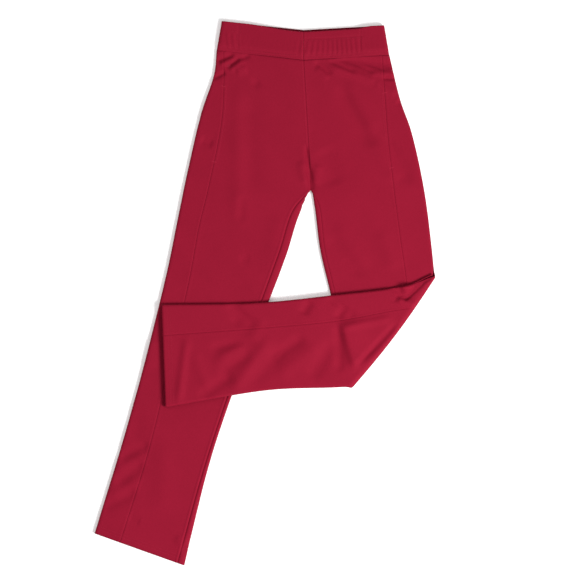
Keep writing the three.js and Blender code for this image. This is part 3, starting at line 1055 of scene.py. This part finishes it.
@dataclass
class PanelSheet:
    """One panel, or part of one, as a sheet of cloth.

    Attributes:
        name: The piece's name.
        leg: The leg it belongs to.
        panel: Which panel it is.
        levels: Its rows, as levels down the leg.
        columns: How many columns it has between its seams.
        half: The half of the tube it covers.
        turned: Whether it belongs to the part of the leg that is turned over.
        bent: Whether it runs round the fold at the knee.
        nodes: The CAD nodes it stands for.
        body: The body it rides on, which a bent sheet doesn't use: it is left unattached.
    """

    name: str
    leg: Leg
    panel: Panel
    levels: np.ndarray
    columns: int
    half: Half = Half.WHOLE
    turned: bool = False
    bent: bool = False
    nodes: tuple[str, ...] = ()
    body: str = TRUNK_BODY

    def layout(self) -> Layout:
        """Works out where the sheet lies.

        Returns:
            The sheet's layout.
        """
        seams = {
            Half.WHOLE: (True, True),
            Half.BACK: (True, False),
            Half.FRONT: (False, True),
        }[self.half]
        path = Tube(self.leg).path(self.panel, self.half, self.levels)
        points, across = spread(path, self.columns, seams)
        upper = points[..., 2] > (LOW_LAYER + TOP_LAYER) / 2
        pulled = 2.4 if self.leg.side < 0 and self.panel is not Panel.SIDE else 0.0
        strong = 1.0 + pulled * ease((self.levels - 0.9) / 0.1)[:, None]
        depth = dip(across, seams, strong) + self._band_dip(points)
        on_floor = ~upper & ~(self.bent & (self.levels[:, None] > 3.0))
        depth = np.where(on_floor, np.maximum(depth, 0.0), depth)
        points[..., 2] += np.where(upper, -depth, depth)
        drops = self.leg.own(points[..., :2])[..., 0]
        steps = np.sqrt(np.maximum(np.diff(across, axis=1) ** 2 - np.diff(drops, axis=1) ** 2, 0.0))
        aside = np.hstack([np.zeros((len(steps), 1)), np.cumsum(steps, axis=1)])
        cut = np.stack([aside - aside[:, -1:] / 2.0, -drops], axis=-1)
        points = self._creased(points)
        return Layout(points, cut)

    def _band_dip(self, points: np.ndarray) -> np.ndarray:
        """How deep the cloth dips at the waistband's seam.

        Args:
            points: The sheet's points.

        Returns:
            The depth at each point, which is 0 for a sheet that doesn't reach the band.
        """
        down = np.linalg.norm(points[..., :2] - points[:1, :, :2], axis=2)
        at_band = float(self.levels[0] == 0.0)
        return GROOVE * at_band * np.exp(-((down / 2.0) ** 2))

    def _creased(self, points: np.ndarray) -> np.ndarray:
        """Folds the sheet at the knee if it has one, and lays its creases in.

        Args:
            points: Places on the leg laid straight, in plan.

        Returns:
            The finished places, in the object's frame.
        """
        middle = (LOW_LAYER + TOP_LAYER) / 2
        on_top = ease((points[..., 2] - middle) / (TOP_LAYER - middle))
        if self.turned or self.bent:
            points = KNEE.turn_over(points, self.bent)
        points = points + np.array([*CROTCH, 0.0])
        x, y, z = points[..., 0], points[..., 1], points[..., 2]
        if self.bent:
            turned_middle = 2.0 * KNEE.height - middle
            lift = SHIN_DRAPE.rise(x, y) * ease((z - turned_middle) / (TOP_LAYER - middle))
        elif self.turned:
            lift = np.zeros_like(z)
        elif self.leg.side < 0:
            lower = ease((-40.0 - y) / 60.0)
            lift = FRONT_DRAPE.rise(x, y) * (1.0 - lower) + CALF_DRAPE.rise(x, y) * lower
            lift = lift * on_top * unpressed(x, y)
        else:
            lift = FRONT_DRAPE.rise(x, y) * on_top * unpressed(x, y)
        if self.levels[0] == 0.0:
            lift = lift * ease(np.linalg.norm(points[..., :2] - points[:1, :, :2], axis=2) / 5.0)
        points[..., 2] = z + lift
        return points

    def build(self, finishes: Finishes) -> bpy.types.Object:
        """Args:
            finishes: The garment's finishes.

        Returns:
            The new piece.
        """
        layout = self.layout()
        piece = make_sheet(f"{self.name}_cloth", layout, CLOTH)
        finishes.dress(piece, Slot.SHELL)
        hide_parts(*self.nodes)
        if self.bent:
            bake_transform(piece)
        else:
            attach(piece, self.body)
        return piece


@dataclass
class Panels:
    """All the shell panels of both legs.

    Attributes:
        trunk_step: About how far apart the rows of a sheet are on the trunk.
        leg_step: And on a leg.
        knee_rows: How many rows go round the knee's fold.
        apart: How far short of the fold, in levels, the upper and the lower sheets stop.
    """

    trunk_step: float = 2.6
    leg_step: float = 4.2
    knee_rows: int = 48
    apart: float = 0.005

    def _rows(self, leg: Leg, *spans: tuple[float, float]) -> np.ndarray:
        """Levels for the rows between pairs of levels, evenly spaced within each pair.

        Args:
            leg: The leg.
            spans: The pairs of levels, each starting where the one before ends.

        Returns:
            The levels of all the rows.
        """
        found: list[float] = []
        for start, end in spans:
            ends = leg.at("front_seam", np.array([start, end]))
            step = self.trunk_step if end <= 1.0 else self.leg_step
            count = max(3, int(np.linalg.norm(ends[1] - ends[0]) / step))
            found.extend(np.linspace(start, end, count, endpoint=False))
        return np.array([*found, spans[-1][1]])

    def build(self, finishes: Finishes) -> list[bpy.types.Object]:
        """Makes every panel.

        Args:
            finishes: The garment's finishes.

        Returns:
            The new pieces.
        """
        straight = self._rows(RIGHT_LEG, (0.0, 1.0), (1.0, 2.0))
        sheets = []
        for panel, columns in ((Panel.BACK, 30), (Panel.SIDE, 44), (Panel.FRONT, 72)):
            name = f"{panel.value}_panel_right"
            sheets.append(PanelSheet(name, RIGHT_LEG, panel, straight, columns, nodes=(name,)))
        hinge_rows = np.concatenate(
            [
                self._rows(LEFT_LEG, (0.0, 1.0), (1.0, 2.0))[:-1],
                np.linspace(2.0, 4.0, self.knee_rows, endpoint=False),
                self._rows(LEFT_LEG, (4.0, 5.0)),
            ]
        )
        thigh = self._rows(LEFT_LEG, (0.0, 1.0), (1.0, 2.0), (2.0, 3.0 - self.apart))
        shin = self._rows(LEFT_LEG, (3.0 + self.apart, 4.0), (4.0, 5.0))
        for panel, columns in ((Panel.BACK, 64), (Panel.SIDE, 30)):
            name = f"{panel.value}_panel_left"
            nodes = (f"{name}_upper", f"{name}_lower")
            sheets.append(
                PanelSheet(name, LEFT_LEG, panel, hinge_rows, columns, Half.BACK, bent=True, nodes=nodes)
            )
        for panel, columns, half in (
            (Panel.BACK, 5, Half.FRONT),
            (Panel.SIDE, 22, Half.FRONT),
            (Panel.FRONT, 62, Half.WHOLE),
        ):
            whole = panel is Panel.FRONT
            for part, levels, turned, body in (
                ("upper", thigh, False, TRUNK_BODY),
                ("lower", shin, True, SHIN_BODY),
            ):
                name = f"{panel.value}_panel_left_{part}" + ("" if whole else "_wrap")
                nodes = (f"{panel.value}_panel_left_{part}",) if whole else ()
                sheets.append(
                    PanelSheet(
                        name, LEFT_LEG, panel, levels, columns, half, turned=turned, nodes=nodes, body=body
                    )
                )
        return [sheet.build(finishes) for sheet in sheets]


# ---------------------------------------------------------------- waistband


@dataclass
class Waistband:
    """The waistband: a tube of cloth turned over at its top edge, with an elastic inside.

    Attributes:
        top_layer: Height of the middle of its upper cloth.
        step: About how far apart the columns of a sheet are.
    """

    top_layer: float = 12.0
    step: float = 2.4

    def line(self, x: np.ndarray) -> np.ndarray:
        """The waistband's seam.

        Args:
            x: Places across, in plan.

        Returns:
            How far up in plan the seam lies at each.
        """
        side = np.where(x < CENTRE_LEAN, -1, 1)
        reach = np.where(side < 0, BAND_REACH[-1], BAND_REACH[1]) + BAND_FLARE
        height = np.where(side < 0, BAND_DIP[-1], BAND_DIP[1])
        share = np.clip((x - CENTRE_LEAN) * side / reach, 0.0, 1.0)
        return RISE + height * share**2 * (2.0 - share)

    def gathers(self, x: np.ndarray, y: np.ndarray) -> np.ndarray:
        """Small upright folds where the elastic draws the band in, with its rows of stitches pulled in.

        Args:
            x: Places across, in millimetres in the object's frame.
            y: Places up.

        Returns:
            The lift at each place, in millimetres.
        """
        strong = ease((x - 130.0) / 25.0) * ease((204.0 - x) / 12.0)
        middle = ease((x - 58.0) / 14.0) * ease((160.0 - x) / 25.0)
        right = ease((x + 84.0) / 10.0) * ease((-40.0 - x) / 8.0)
        amount = 0.06 + 0.55 * strong + 0.4 * middle + 0.4 * right
        wander = 2.2 * np.sin(y / 15.0 + x / 40.0) + 2.4 * np.sin(x / 23.0)
        up = y - CROTCH[1] - self.line(x - CROTCH[0])
        low = ease(up / 9.0) * ease((44.0 - up) / 12.0)
        folds = amount * low * np.sin((x + wander) * 2.0 * math.pi / 10.4)
        casing = ease((x - 78.0) / 4.0) * ease((200.0 - x) / 4.0) * np.exp(-(((up - 41.8) / 2.6) ** 2))
        upright = np.exp(-(((x - 193.0) / 2.6) ** 2)) + np.exp(-(((x + 50.0) / 2.6) ** 2))
        seam_rows = np.exp(-(((up - 7.0) / 3.0) ** 2))
        return folds - 0.55 * casing - 0.5 * upright * ease((up - 9.0) / 5.0) - 0.35 * seam_rows

    @staticmethod
    def sag(x: np.ndarray) -> np.ndarray:
        """How far the front's top edge lies below the back's, at places in the object's frame."""
        return 4.6 * ease((x + 34.0) / 90.0) * ease((214.0 - x) / 30.0)

    def surface(self, x: np.ndarray, y: np.ndarray) -> np.ndarray:
        """Height of the middle of the upper cloth, at places in the object's frame."""
        up = y - CROTCH[1] - self.line(x - CROTCH[0])
        return self._layer(up) + self.gathers(x, y) * self._fade(up)

    def _layer(self, up: np.ndarray) -> np.ndarray:
        """Height of the upper cloth without gathers, at each distance up from the band's seam."""
        return TOP_LAYER + (self.top_layer - TOP_LAYER) * ease(up / 16.0)

    @staticmethod
    def _fade(up: np.ndarray) -> np.ndarray:
        """The share of their height that gathers keep, which is small at the band's seam and top."""
        return ease(up / 14.0) * ease((BAND_DEPTH + 4.0 - up) / 14.0)

    def _around(self, inset: float, turns: tuple[float, float], ups: np.ndarray) -> np.ndarray:
        """A path round the flattened band, at each distance up from its seam.

        Args:
            inset: How far inside the band's outside it lies.
            turns: Where it starts and ends: 0 is the right end, 0.5 the centre of the front,
                1 the left end, 1.5 the centre of the back, 2 the right end again.
            ups: Distances up from the band's seam.

        Returns:
            Rows by steps by three, in plan.
        """
        rows = []
        for up in ups:
            flare = BAND_FLARE * (1.0 - up / BAND_DEPTH)
            ends = {side: CENTRE_LEAN + side * (BAND_REACH[side] + flare - inset) for side in (-1, 1)}
            top = float(self._layer(np.array(up))) + LOW_LAYER - inset
            radius = (top - inset) / 2.0
            middle = inset + radius
            quarter = np.linspace(0.0, math.pi / 2, 7)
            bend = np.stack([radius * (1.0 - np.cos(quarter)), middle + radius * np.sin(quarter)], axis=1)
            right = bend + np.array([ends[-1], 0.0])
            left = bend[::-1] * np.array([-1.0, 1.0]) + np.array([ends[1], 0.0])
            front = np.vstack([right, [[CENTRE_LEAN, top]], left])
            under = front[::-1] * np.array([1.0, -1.0]) + np.array([0.0, 2.0 * middle])
            loop = np.vstack([front, under[1:]])
            half = np.linspace(0.0, 1.0, len(front))
            keys = np.concatenate([half, half[1:] + 1.0])
            wanted = [key for key in keys if turns[0] <= key <= turns[1]]
            x = np.interp(wanted, keys, loop[:, 0])
            z = np.interp(wanted, keys, loop[:, 1])
            rows.append(np.stack([x, self.line(x) + up, z], axis=1))
        return np.array(rows)

    def _strip(
        self, inset: float, turns: tuple[float, float], ups: np.ndarray, seams: tuple[bool, bool]
    ) -> Layout:
        """Lays a strip of cloth round the band.

        Args:
            inset: How far inside the band's outside it lies.
            turns: Where it starts and ends.
            ups: Its rows, as distances up from the band's seam.
            seams: Whether its ends lie in a seam.

        Returns:
            The strip's layout.
        """
        path = self._around(inset, turns, ups)
        length = float(np.linalg.norm(np.diff(path[0], axis=0), axis=1).sum())
        points, across = spread(path, int(length / self.step), seams)
        aside = across - across.mean(axis=1, keepdims=True)
        cut = np.stack([aside, np.repeat(ups[:, None], across.shape[1], 1)], axis=-1)
        middle = (self.top_layer + LOW_LAYER) / 2
        upper = points[..., 2] > middle
        depth = dip(across, seams)
        if inset == LOW_LAYER:  # only the outer cloth dips where it is sewn to the panels
            depth = depth + GROOVE * np.exp(-((ups[:, None] / 2.0) ** 2))
        points[..., 2] += np.where(upper, -depth, np.maximum(depth, 0.0))
        points = points + np.array([*CROTCH, 0.0])
        if turns[1] <= 1.0:
            points[..., 1] -= self.sag(points[..., 0]) * (ups[:, None] / BAND_DEPTH) ** 2
        lift = self.gathers(points[..., 0], points[..., 1]) * self._fade(ups)[:, None]
        share = np.clip((points[..., 2] - middle) / 5.0, -1.0, 1.0)
        below = 0.35 * np.maximum(-lift, 0.0) * ease(-share)
        points[..., 2] += np.where(share > 0, lift * ease(share), below)
        return Layout(points, cut)

    def _turned_in(self, layout: Layout, over: float) -> Layout:
        """Adds rows that carry the cloth over the band's top edge to its inside.

        Args:
            layout: The strip below the edge.
            over: Distance between the outer cloth and the inner.

        Returns:
            The longer strip.
        """
        last = layout.points[-1]
        above = last[:, 2:3] - (LOW_LAYER + self.top_layer) / 2
        inwards = -np.sign(above) * np.minimum(1.0, np.abs(above) / 3.0)
        added, cuts = [], []
        for turn in np.linspace(0.0, math.pi, 7)[1:]:
            row = last.copy()
            row[:, 1] += over / 2 * math.sin(turn)
            row[:, 2:3] += inwards * over / 2 * (1 - math.cos(turn))
            added.append(row)
            cuts.append(layout.cut[-1] + np.array([0.0, over / 2 * turn]))
        return Layout(np.vstack([layout.points, added]), np.vstack([layout.cut, cuts]))

    def build(self, finishes: Finishes) -> list[bpy.types.Object]:
        """Makes the band's cloth, its facing and its elastic.

        Args:
            finishes: The garment's finishes.

        Returns:
            The new pieces.
        """
        ups = np.array([0.0, 1.2, 2.6, 4.5, *np.linspace(6.5, BAND_DEPTH - 1.4, 24)])
        pieces = []
        for name, turns, seams in (
            ("waistband_front_right", (0.0, 0.5), (False, True)),
            ("waistband_front_left", (0.5, 1.0), (True, False)),
            ("waistband_back", (1.0, 2.0), (False, False)),
        ):
            layout = self._turned_in(self._strip(LOW_LAYER, turns, ups, seams), 2.6)
            pieces.append(self._finish(name, layout, CLOTH, Slot.SHELL, finishes))
        inner_ups = np.linspace(1.0, BAND_DEPTH - 2.2, 14)
        for name, turns in (("waistband_facing_front", (0.0, 1.0)), ("waistband_facing_back", (1.0, 2.0))):
            layout = self._strip(3.2, turns, inner_ups, (False, False))
            pieces.append(self._finish(name, layout, 0.8, Slot.FACING, finishes))
        layout = self._strip(1.95, (0.0, 2.0), np.linspace(8.0, 52.0, 12), (False, False))
        pieces.append(self._finish("waist_elastic", layout, 0.9, Slot.ELASTIC, finishes, closed=True))
        return pieces

    @staticmethod
    def _finish(
        name: str, layout: Layout, thickness: float, slot: Slot, finishes: Finishes, closed: bool = False
    ) -> bpy.types.Object:
        """Args:
            name: The piece's and the CAD node's name.
            layout: Where it lies.
            thickness: Its thickness in millimetres.
            slot: Its material slot.
            finishes: The garment's finishes.
            closed: Whether it is a closed ring.

        Returns:
            The new piece.
        """
        piece = make_sheet(f"{name}_cloth", layout, thickness, closed, smoothing=1)
        finishes.dress(piece, slot)
        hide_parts(name)
        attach(piece, TRUNK_BODY)
        return piece


# ---------------------------------------------------------------- inside


@dataclass
class Insides:
    """Pocket bags, turned-up hems and the blank care label.

    Attributes:
        pocket_top: Drop of a bag's upper edge.
        mouth_top: Drop of a pocket mouth's upper end.
        mouth_length: Length of the mouth.
        pocket_width: A bag, from its mouth towards the centre front.
        below_mouth: How far a bag hangs below its mouth.
        corner: Roundness of a bag's lower corners.
        from_seam: How far inside the front seam a bag starts.
        hem_depth: How far a hem is turned up.
    """

    pocket_top: float = -232.0
    mouth_top: float = -185.0
    mouth_length: float = 150.0
    pocket_width: float = 108.0
    below_mouth: float = 58.0
    corner: float = 42.0
    from_seam: float = 1.5
    hem_depth: float = 24.0

    def seam_across(self, leg: Leg, drop: np.ndarray) -> np.ndarray:
        """How far across the leg its front seam lies, at a drop."""
        return np.interp(drop, leg.lines["front_seam"][:, 0], leg.lines["front_seam"][:, 1])

    def _bag(self, leg: Leg, height: float) -> Layout:
        """Lays out one layer of a pocket bag.

        Args:
            leg: The leg it is on.
            height: How high its middle lies.

        Returns:
            The layer's layout.
        """
        mouth_end = self.mouth_top + self.mouth_length
        bottom = mouth_end + self.below_mouth
        sides = np.linspace(self.pocket_top, bottom - self.corner, 26)
        drops = np.array([*sides, *self._corner_drops(bottom)])
        near = self.seam_across(leg, np.minimum(drops, bottom)) - self.from_seam
        far = self.seam_across(leg, np.full(len(drops), mouth_end)) - self.pocket_width
        into = np.clip((drops - (bottom - self.corner)) / self.corner, 0.0, 1.0)
        draw_in = self.corner * (1.0 - np.sqrt(np.maximum(1.0 - into**2, 0.0)))
        share = np.linspace(0.0, 1.0, 22)[None, :]
        left, right = (near - draw_in)[:, None], (far + draw_in)[:, None]
        across = left + (right - left) * share
        flat = leg.plan(np.repeat(drops[:, None], across.shape[1], 1), across) + CROTCH
        lift = FRONT_DRAPE.rise(flat[..., 0], flat[..., 1])
        points = np.concatenate([flat, (height + lift)[..., None]], axis=2)
        cut = np.stack([across, -np.repeat(drops[:, None], across.shape[1], 1)], axis=-1)
        return Layout(points, cut)

    def _corner_drops(self, bottom: float) -> list[float]:
        """Rows down a bag's rounded corners, closer together towards its bottom."""
        turns = np.linspace(0.0, math.pi / 2, 9)[1:]
        reach = 0.995 * self.corner  # so that the last row keeps a little slope
        return [bottom - self.corner + reach * math.sin(turn) for turn in turns]

    def _hem(self, leg: Leg) -> Layout:
        """Lays out the ring of cloth that is turned up inside a hem.

        Args:
            leg: The leg.

        Returns:
            The ring's layout.
        """
        ups = np.linspace(self.hem_depth, 0.8, 6)
        tube = Tube(leg, inset=2.0)
        last = len(leg.keys["outer"]) - 1
        rounds = []
        for edge in ("outer", "inner"):
            span = leg.keys[edge][-1] - leg.keys[edge][-2]
            rounds.append(tube.edge(edge, last - ups / span, (0, 2)))
        outer, inner = rounds
        loop = np.concatenate([outer, inner[:, ::-1], outer[:, :1]], axis=1)
        points, across = spread(loop, 70, (False, False))
        cut = np.stack([across, np.repeat(ups[:, None], across.shape[1], 1)], axis=-1)
        if leg.side > 0:
            points = KNEE.turn_over(points, False)
        return Layout(points + np.array([*CROTCH, 0.0]), cut)

    def build(self, finishes: Finishes) -> list[bpy.types.Object]:
        """Makes everything that lies inside the shell.

        Args:
            finishes: The garment's finishes.

        Returns:
            The new pieces.
        """
        pieces = []
        for leg, side, body in ((RIGHT_LEG, "right", TRUNK_BODY), (LEFT_LEG, "left", SHIN_BODY)):
            for layer, height in (("front", 7.65), ("back", 6.7)):
                name = f"pocket_bag_{layer}_{side}"
                layout = self._bag(leg, height)
                piece = make_sheet(f"{name}_cloth", layout, 0.5, smoothing=1)
                finishes.dress(piece, Slot.LINING)
                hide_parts(name)
                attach(piece, TRUNK_BODY)
                pieces.append(piece)
            name = f"hem_facing_{side}"
            layout = self._hem(leg)
            piece = make_sheet(f"{name}_cloth", layout, 0.8, closed=True, smoothing=1)
            finishes.dress(piece, Slot.FACING)
            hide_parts(name)
            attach(piece, body)
            pieces.append(piece)
        pieces.append(self._label(finishes))
        return pieces

    def _label(self, finishes: Finishes) -> bpy.types.Object:
        """Makes the blank care label that hangs inside the back.

        Args:
            finishes: The garment's finishes.

        Returns:
            The new piece.
        """
        low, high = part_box("care_label")
        rows, columns = 8, 6
        x, y = np.meshgrid(np.linspace(low.x, high.x, columns), np.linspace(low.y, high.y, rows))
        curl = 0.0006 * np.sin((y - low.y) / (high.y - low.y) * math.pi)
        points = np.stack([x, y, (low.z + high.z) / 2 + curl], axis=-1) / MM
        layout = Layout(points, points[..., :2])
        piece = make_sheet("care_label_blank", layout, 0.3, smoothing=1)
        finishes.dress(piece, Slot.LABEL)
        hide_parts("care_label")
        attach(piece, TRUNK_BODY)
        return piece


# ---------------------------------------------------------------- stitching


@dataclass
class StitchRow:
    """A row of machine stitches along a line on the cloth.

    Attributes:
        name: The piece's name.
        line: The line, one row per place, in millimetres in the object's frame.
        body: The body it rides on.
        node: The CAD node it stands for, if there is one.
        length: Length of one stitch.
        pitch: Distance from one stitch to the next.
        width: Width of the thread as it lies.
    """

    name: str
    line: np.ndarray
    body: str = TRUNK_BODY
    node: str = ""
    length: float = 2.7
    pitch: float = 3.3
    width: float = 0.9

    def build(self, finishes: Finishes) -> bpy.types.Object:
        """Makes the stitches as one piece.

        Args:
            finishes: The garment's finishes.

        Returns:
            The new piece.
        """
        steps = np.linalg.norm(np.diff(self.line, axis=0), axis=1)
        run = np.concatenate([[0.0], np.cumsum(steps)])
        count = max(1, int(run[-1] / self.pitch))
        ends = (np.arange(count) + 0.5) * run[-1] / count
        model = bmesh.new()
        for middle in ends:
            start, end = (
                Vector([float(np.interp(place, run, self.line[:, axis])) for axis in range(3)])
                for place in (middle - self.length / 2, middle + self.length / 2)
            )
            turn = (end - start).to_track_quat("X", "Z").to_matrix().to_4x4()
            size = Matrix.Diagonal((self.length * MM, self.width * MM, 0.5 * MM, 1.0))
            place = Matrix.Translation((start + end) / 2 * MM) @ turn @ size
            bmesh.ops.create_uvsphere(model, u_segments=6, v_segments=4, radius=0.5, matrix=place)
        for face in model.faces:
            face.smooth = True
        mesh = bpy.data.meshes.new(f"{self.name}_thread")
        model.to_mesh(mesh)
        model.free()
        piece = bpy.data.objects.new(f"{self.name}_thread", mesh)
        bpy.context.scene.collection.objects.link(piece)
        finishes.dress(piece, Slot.THREAD)
        if self.node:
            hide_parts(self.node)
        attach(piece, self.body)
        return piece


@dataclass
class Stitching:
    """Every row of stitching that shows.

    Attributes:
        band: The waistband, for its shape.
        insides: The pockets, for their mouths.
        proud: How far the thread's middle stands above the middle of the cloth.
    """

    band: Waistband
    insides: Insides
    proud: float = 0.62

    def _on_band(self, x: np.ndarray, up: np.ndarray) -> np.ndarray:
        """A line of thread on the waistband.

        Args:
            x: Places across, in plan.
            up: Distances up from the band's seam.

        Returns:
            The line, in the object's frame.
        """
        y = self.band.line(x) + up + CROTCH[1]
        x = x + CROTCH[0]
        return np.stack([x, y, self.band.surface(x, y) + self.proud], axis=1)

    def _on_front(self, places: np.ndarray) -> np.ndarray:
        """A line of thread on the upper side of the trunk or the right leg.

        Args:
            places: Places in plan.

        Returns:
            The line, in the object's frame.
        """
        x, y = places[:, 0] + CROTCH[0], places[:, 1] + CROTCH[1]
        lower = ease((-40.0 - y) / 60.0)
        lift = FRONT_DRAPE.rise(x, y) * (1.0 - lower) + CALF_DRAPE.rise(x, y) * lower
        return np.stack([x, y, TOP_LAYER + lift * unpressed(x, y) + self.proud], axis=1)

    def _on_shin(self, places: np.ndarray) -> np.ndarray:
        """A line of thread on the upper side of the folded leg.

        Args:
            places: Places in plan, on the leg laid straight.

        Returns:
            The line, in the object's frame.
        """
        low = np.concatenate([places, np.full((len(places), 1), LOW_LAYER)], axis=1)
        turned = KNEE.turn_over(low, False) + np.array([*CROTCH, 0.0])
        turned[:, 2] += SHIN_DRAPE.rise(turned[:, 0], turned[:, 1]) + self.proud
        return turned

    def _hem_rows(self) -> list[StitchRow]:
        """Twin rows round both hems, on the side that lies uppermost.

        Returns:
            The rows.
        """
        rows = []
        for row, up in enumerate((10.5, 16.5), start=1):
            across = np.linspace(RIGHT_LEG.hem.inner + 9, RIGHT_LEG.hem.outer - 9, 60)
            line = self._on_front(RIGHT_LEG.plan(RIGHT_LEG.hem_drop(across, up), across))
            name = f"hem_stitching_right_{row}"
            rows.append(StitchRow(name, line, node=name))
            across = np.linspace(LEFT_LEG.hem.inner + 9, LEFT_LEG.hem.outer - 9, 60)
            line = self._on_shin(LEFT_LEG.plan(LEFT_LEG.hem_drop(across, up), across))
            name = f"hem_stitching_left_{row}"
            rows.append(StitchRow(name, line, SHIN_BODY, name))
        return rows

    def _band_rows(self) -> list[StitchRow]:
        """Twin rows along the band's seam, the casing's rows and the upright ends of the elastic.

        Returns:
            The rows.
        """
        rows = []
        x = np.linspace(CENTRE_LEAN - BAND_REACH[-1] + 9, CENTRE_LEAN + BAND_REACH[1] - 9, 120)
        for row, up in enumerate((4.5, 9.5), start=1):
            name = f"waistband_stitching_{row}"
            rows.append(StitchRow(name, self._on_band(x, np.full(len(x), up)), node=name))
        x = np.linspace(CENTRE_LEAN + 3, CENTRE_LEAN + 112, 60)
        name = "casing_stitching"
        rows.append(StitchRow(name, self._on_band(x, np.full(60, 44.5)), node=name))
        rows.append(StitchRow("casing_stitching_lower", self._on_band(x, np.full(60, 39.0))))
        up = np.linspace(13.0, 55.0, 30)
        for name, place in (
            ("elastic_end_stitching_left_1", CENTRE_LEAN + 112),
            ("elastic_end_stitching_left_2", CENTRE_LEAN + 117),
            ("elastic_end_stitching_right_1", -141.5),
            ("elastic_end_stitching_right_2", -147.0),
        ):
            rows.append(StitchRow(name, self._on_band(np.full(30, place), up)))
        x = np.linspace(-170.0, -147.0, 16)
        rows.append(StitchRow("casing_stitching_right", self._on_band(x, np.full(16, 42.0))))
        up = np.linspace(2.0, 57.0, 30)
        for side in (-1, 1):
            name = f"band_centre_stitching_{'right' if side < 0 else 'left'}"
            rows.append(StitchRow(name, self._on_band(np.full(30, CENTRE_LEAN + 2.8 * side), up)))
        return rows

    def _front_rows(self) -> list[StitchRow]:
        """Twin rows beside the centre seam, and the rows and tacks of the pocket mouths.

        Returns:
            The rows.
        """
        rows = []
        share = np.linspace(0.01, 0.97, 80)[:, None]
        centre = np.array([CENTRE_LEAN, RISE]) * (1.0 - share)
        for side, name in ((-1, "right"), (1, "left")):
            places = centre + np.array([2.9 * side, 0.0])
            rows.append(StitchRow(f"centre_stitching_{name}", self._on_front(places)))
        for leg, side in ((RIGHT_LEG, "right"), (LEFT_LEG, "left")):
            top = self.insides.mouth_top
            end = top + self.insides.mouth_length
            drops = np.linspace(top, end, 50)
            across = self.insides.seam_across(leg, drops) - 5.0
            line = self._on_front(leg.plan(drops, across))
            rows.append(StitchRow(f"pocket_mouth_stitching_{side}", line))
            for place, drop in (("upper", top), ("lower", end)):
                across = float(self.insides.seam_across(leg, np.array(drop))) + np.linspace(-4.5, 4.5, 12)
                line = self._on_front(leg.plan(np.full(12, drop), across))
                name = f"pocket_tack_{place}_{side}"
                rows.append(StitchRow(name, line, node=name, length=1.1, pitch=0.8, width=2.4))
        return rows

    def build(self, finishes: Finishes) -> list[bpy.types.Object]:
        """Makes every row of stitching."""
        rows = [*self._band_rows(), *self._front_rows(), *self._hem_rows()]
        return [row.build(finishes) for row in rows]


# ---------------------------------------------------------------- studio


@dataclass
class Studio:
    """Pale floor, soft light and a camera that looks straight down.

    Attributes:
        aim: The place under the camera.
        distance: The camera's height.
        lens: Its focal length, on a 36 mm sensor.
    """

    aim: tuple[float, float] = (0.0484, 0.0111)
    distance: float = 6.41
    lens: float = 200.0

    def build(self) -> None:
        """Makes the floor, the lights and the camera."""
        scene = bpy.context.scene
        scene.view_settings.view_transform = "Standard"
        self._floor()
        world = bpy.data.worlds.new("studio")
        world.use_nodes = True
        world.node_tree.nodes["Background"].inputs["Color"].default_value = (1.0, 1.0, 1.0, 1.0)
        world.node_tree.nodes["Background"].inputs["Strength"].default_value = 0.42
        scene.world = world
        self._softbox("key_light", (2.1, -1.3, 2.4), 1.3, 165.0)
        self._softbox("fill_light", (-1.9, 1.6, 2.6), 2.4, 24.0)
        camera = bpy.data.objects.new("camera", bpy.data.cameras.new("camera"))
        camera.data.lens = self.lens
        camera.data.sensor_width = 36.0
        camera.data.clip_end = 50.0
        camera.location = (*self.aim, self.distance)
        scene.collection.objects.link(camera)
        scene.camera = camera

    def _floor(self) -> None:
        """Makes a pale, matt floor."""
        model = bmesh.new()
        bmesh.ops.create_grid(model, x_segments=1, y_segments=1, size=30.0)
        mesh = bpy.data.meshes.new("floor")
        model.to_mesh(mesh)
        model.free()
        floor = bpy.data.objects.new("floor", mesh)
        bpy.context.scene.collection.objects.link(floor)
        paint = bpy.data.materials.new("pale_floor")
        paint.use_nodes = True
        shader = paint.node_tree.nodes["Principled BSDF"]
        shader.inputs["Base Color"].default_value = (0.93, 0.93, 0.93, 1.0)
        shader.inputs["Roughness"].default_value = 0.9
        shader.inputs["Emission Color"].default_value = (1.0, 1.0, 1.0, 1.0)
        shader.inputs["Emission Strength"].default_value = 0.22
        floor.data.materials.append(paint)
        floor.location.z = -0.0002

    def _softbox(self, name: str, place: tuple[float, float, float], size: float, power: float) -> None:
        """Hangs a soft square light that points at the middle of the garment.

        Args:
            name: The light's name.
            place: Where it hangs.
            size: Length of its side.
            power: Its power.
        """
        light = bpy.data.objects.new(name, bpy.data.lights.new(name, "AREA"))
        light.data.size = size
        light.data.energy = power
        light.location = place
        away = Vector(place) - Vector((*self.aim, 0.0))
        light.rotation_mode = "QUATERNION"
        light.rotation_quaternion = away.to_track_quat("Z", "Y")
        bpy.context.scene.collection.objects.link(light)


def main() -> None:
    """Builds the garment piece by piece, then the studio."""
    logging.basicConfig(level=logging.INFO, format="%(message)s")
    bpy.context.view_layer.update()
    RIGHT_LEG.draw(LEFT_LEG.below_crotch(), None)
    LEFT_LEG.draw(RIGHT_LEG.below_crotch(), KNEE)
    finishes = Finishes()
    band = Waistband()
    insides = Insides()
    for part in (Panels(), band, insides, Stitching(band, insides)):
        for piece in part.build(finishes):
            faces = len(piece.data.polygons)
            LOG.info("%s: %s, %d faces before smoothing", type(part).__name__, piece.name, faces)
    Studio().build()


if __name__ == "__main__":
    main()
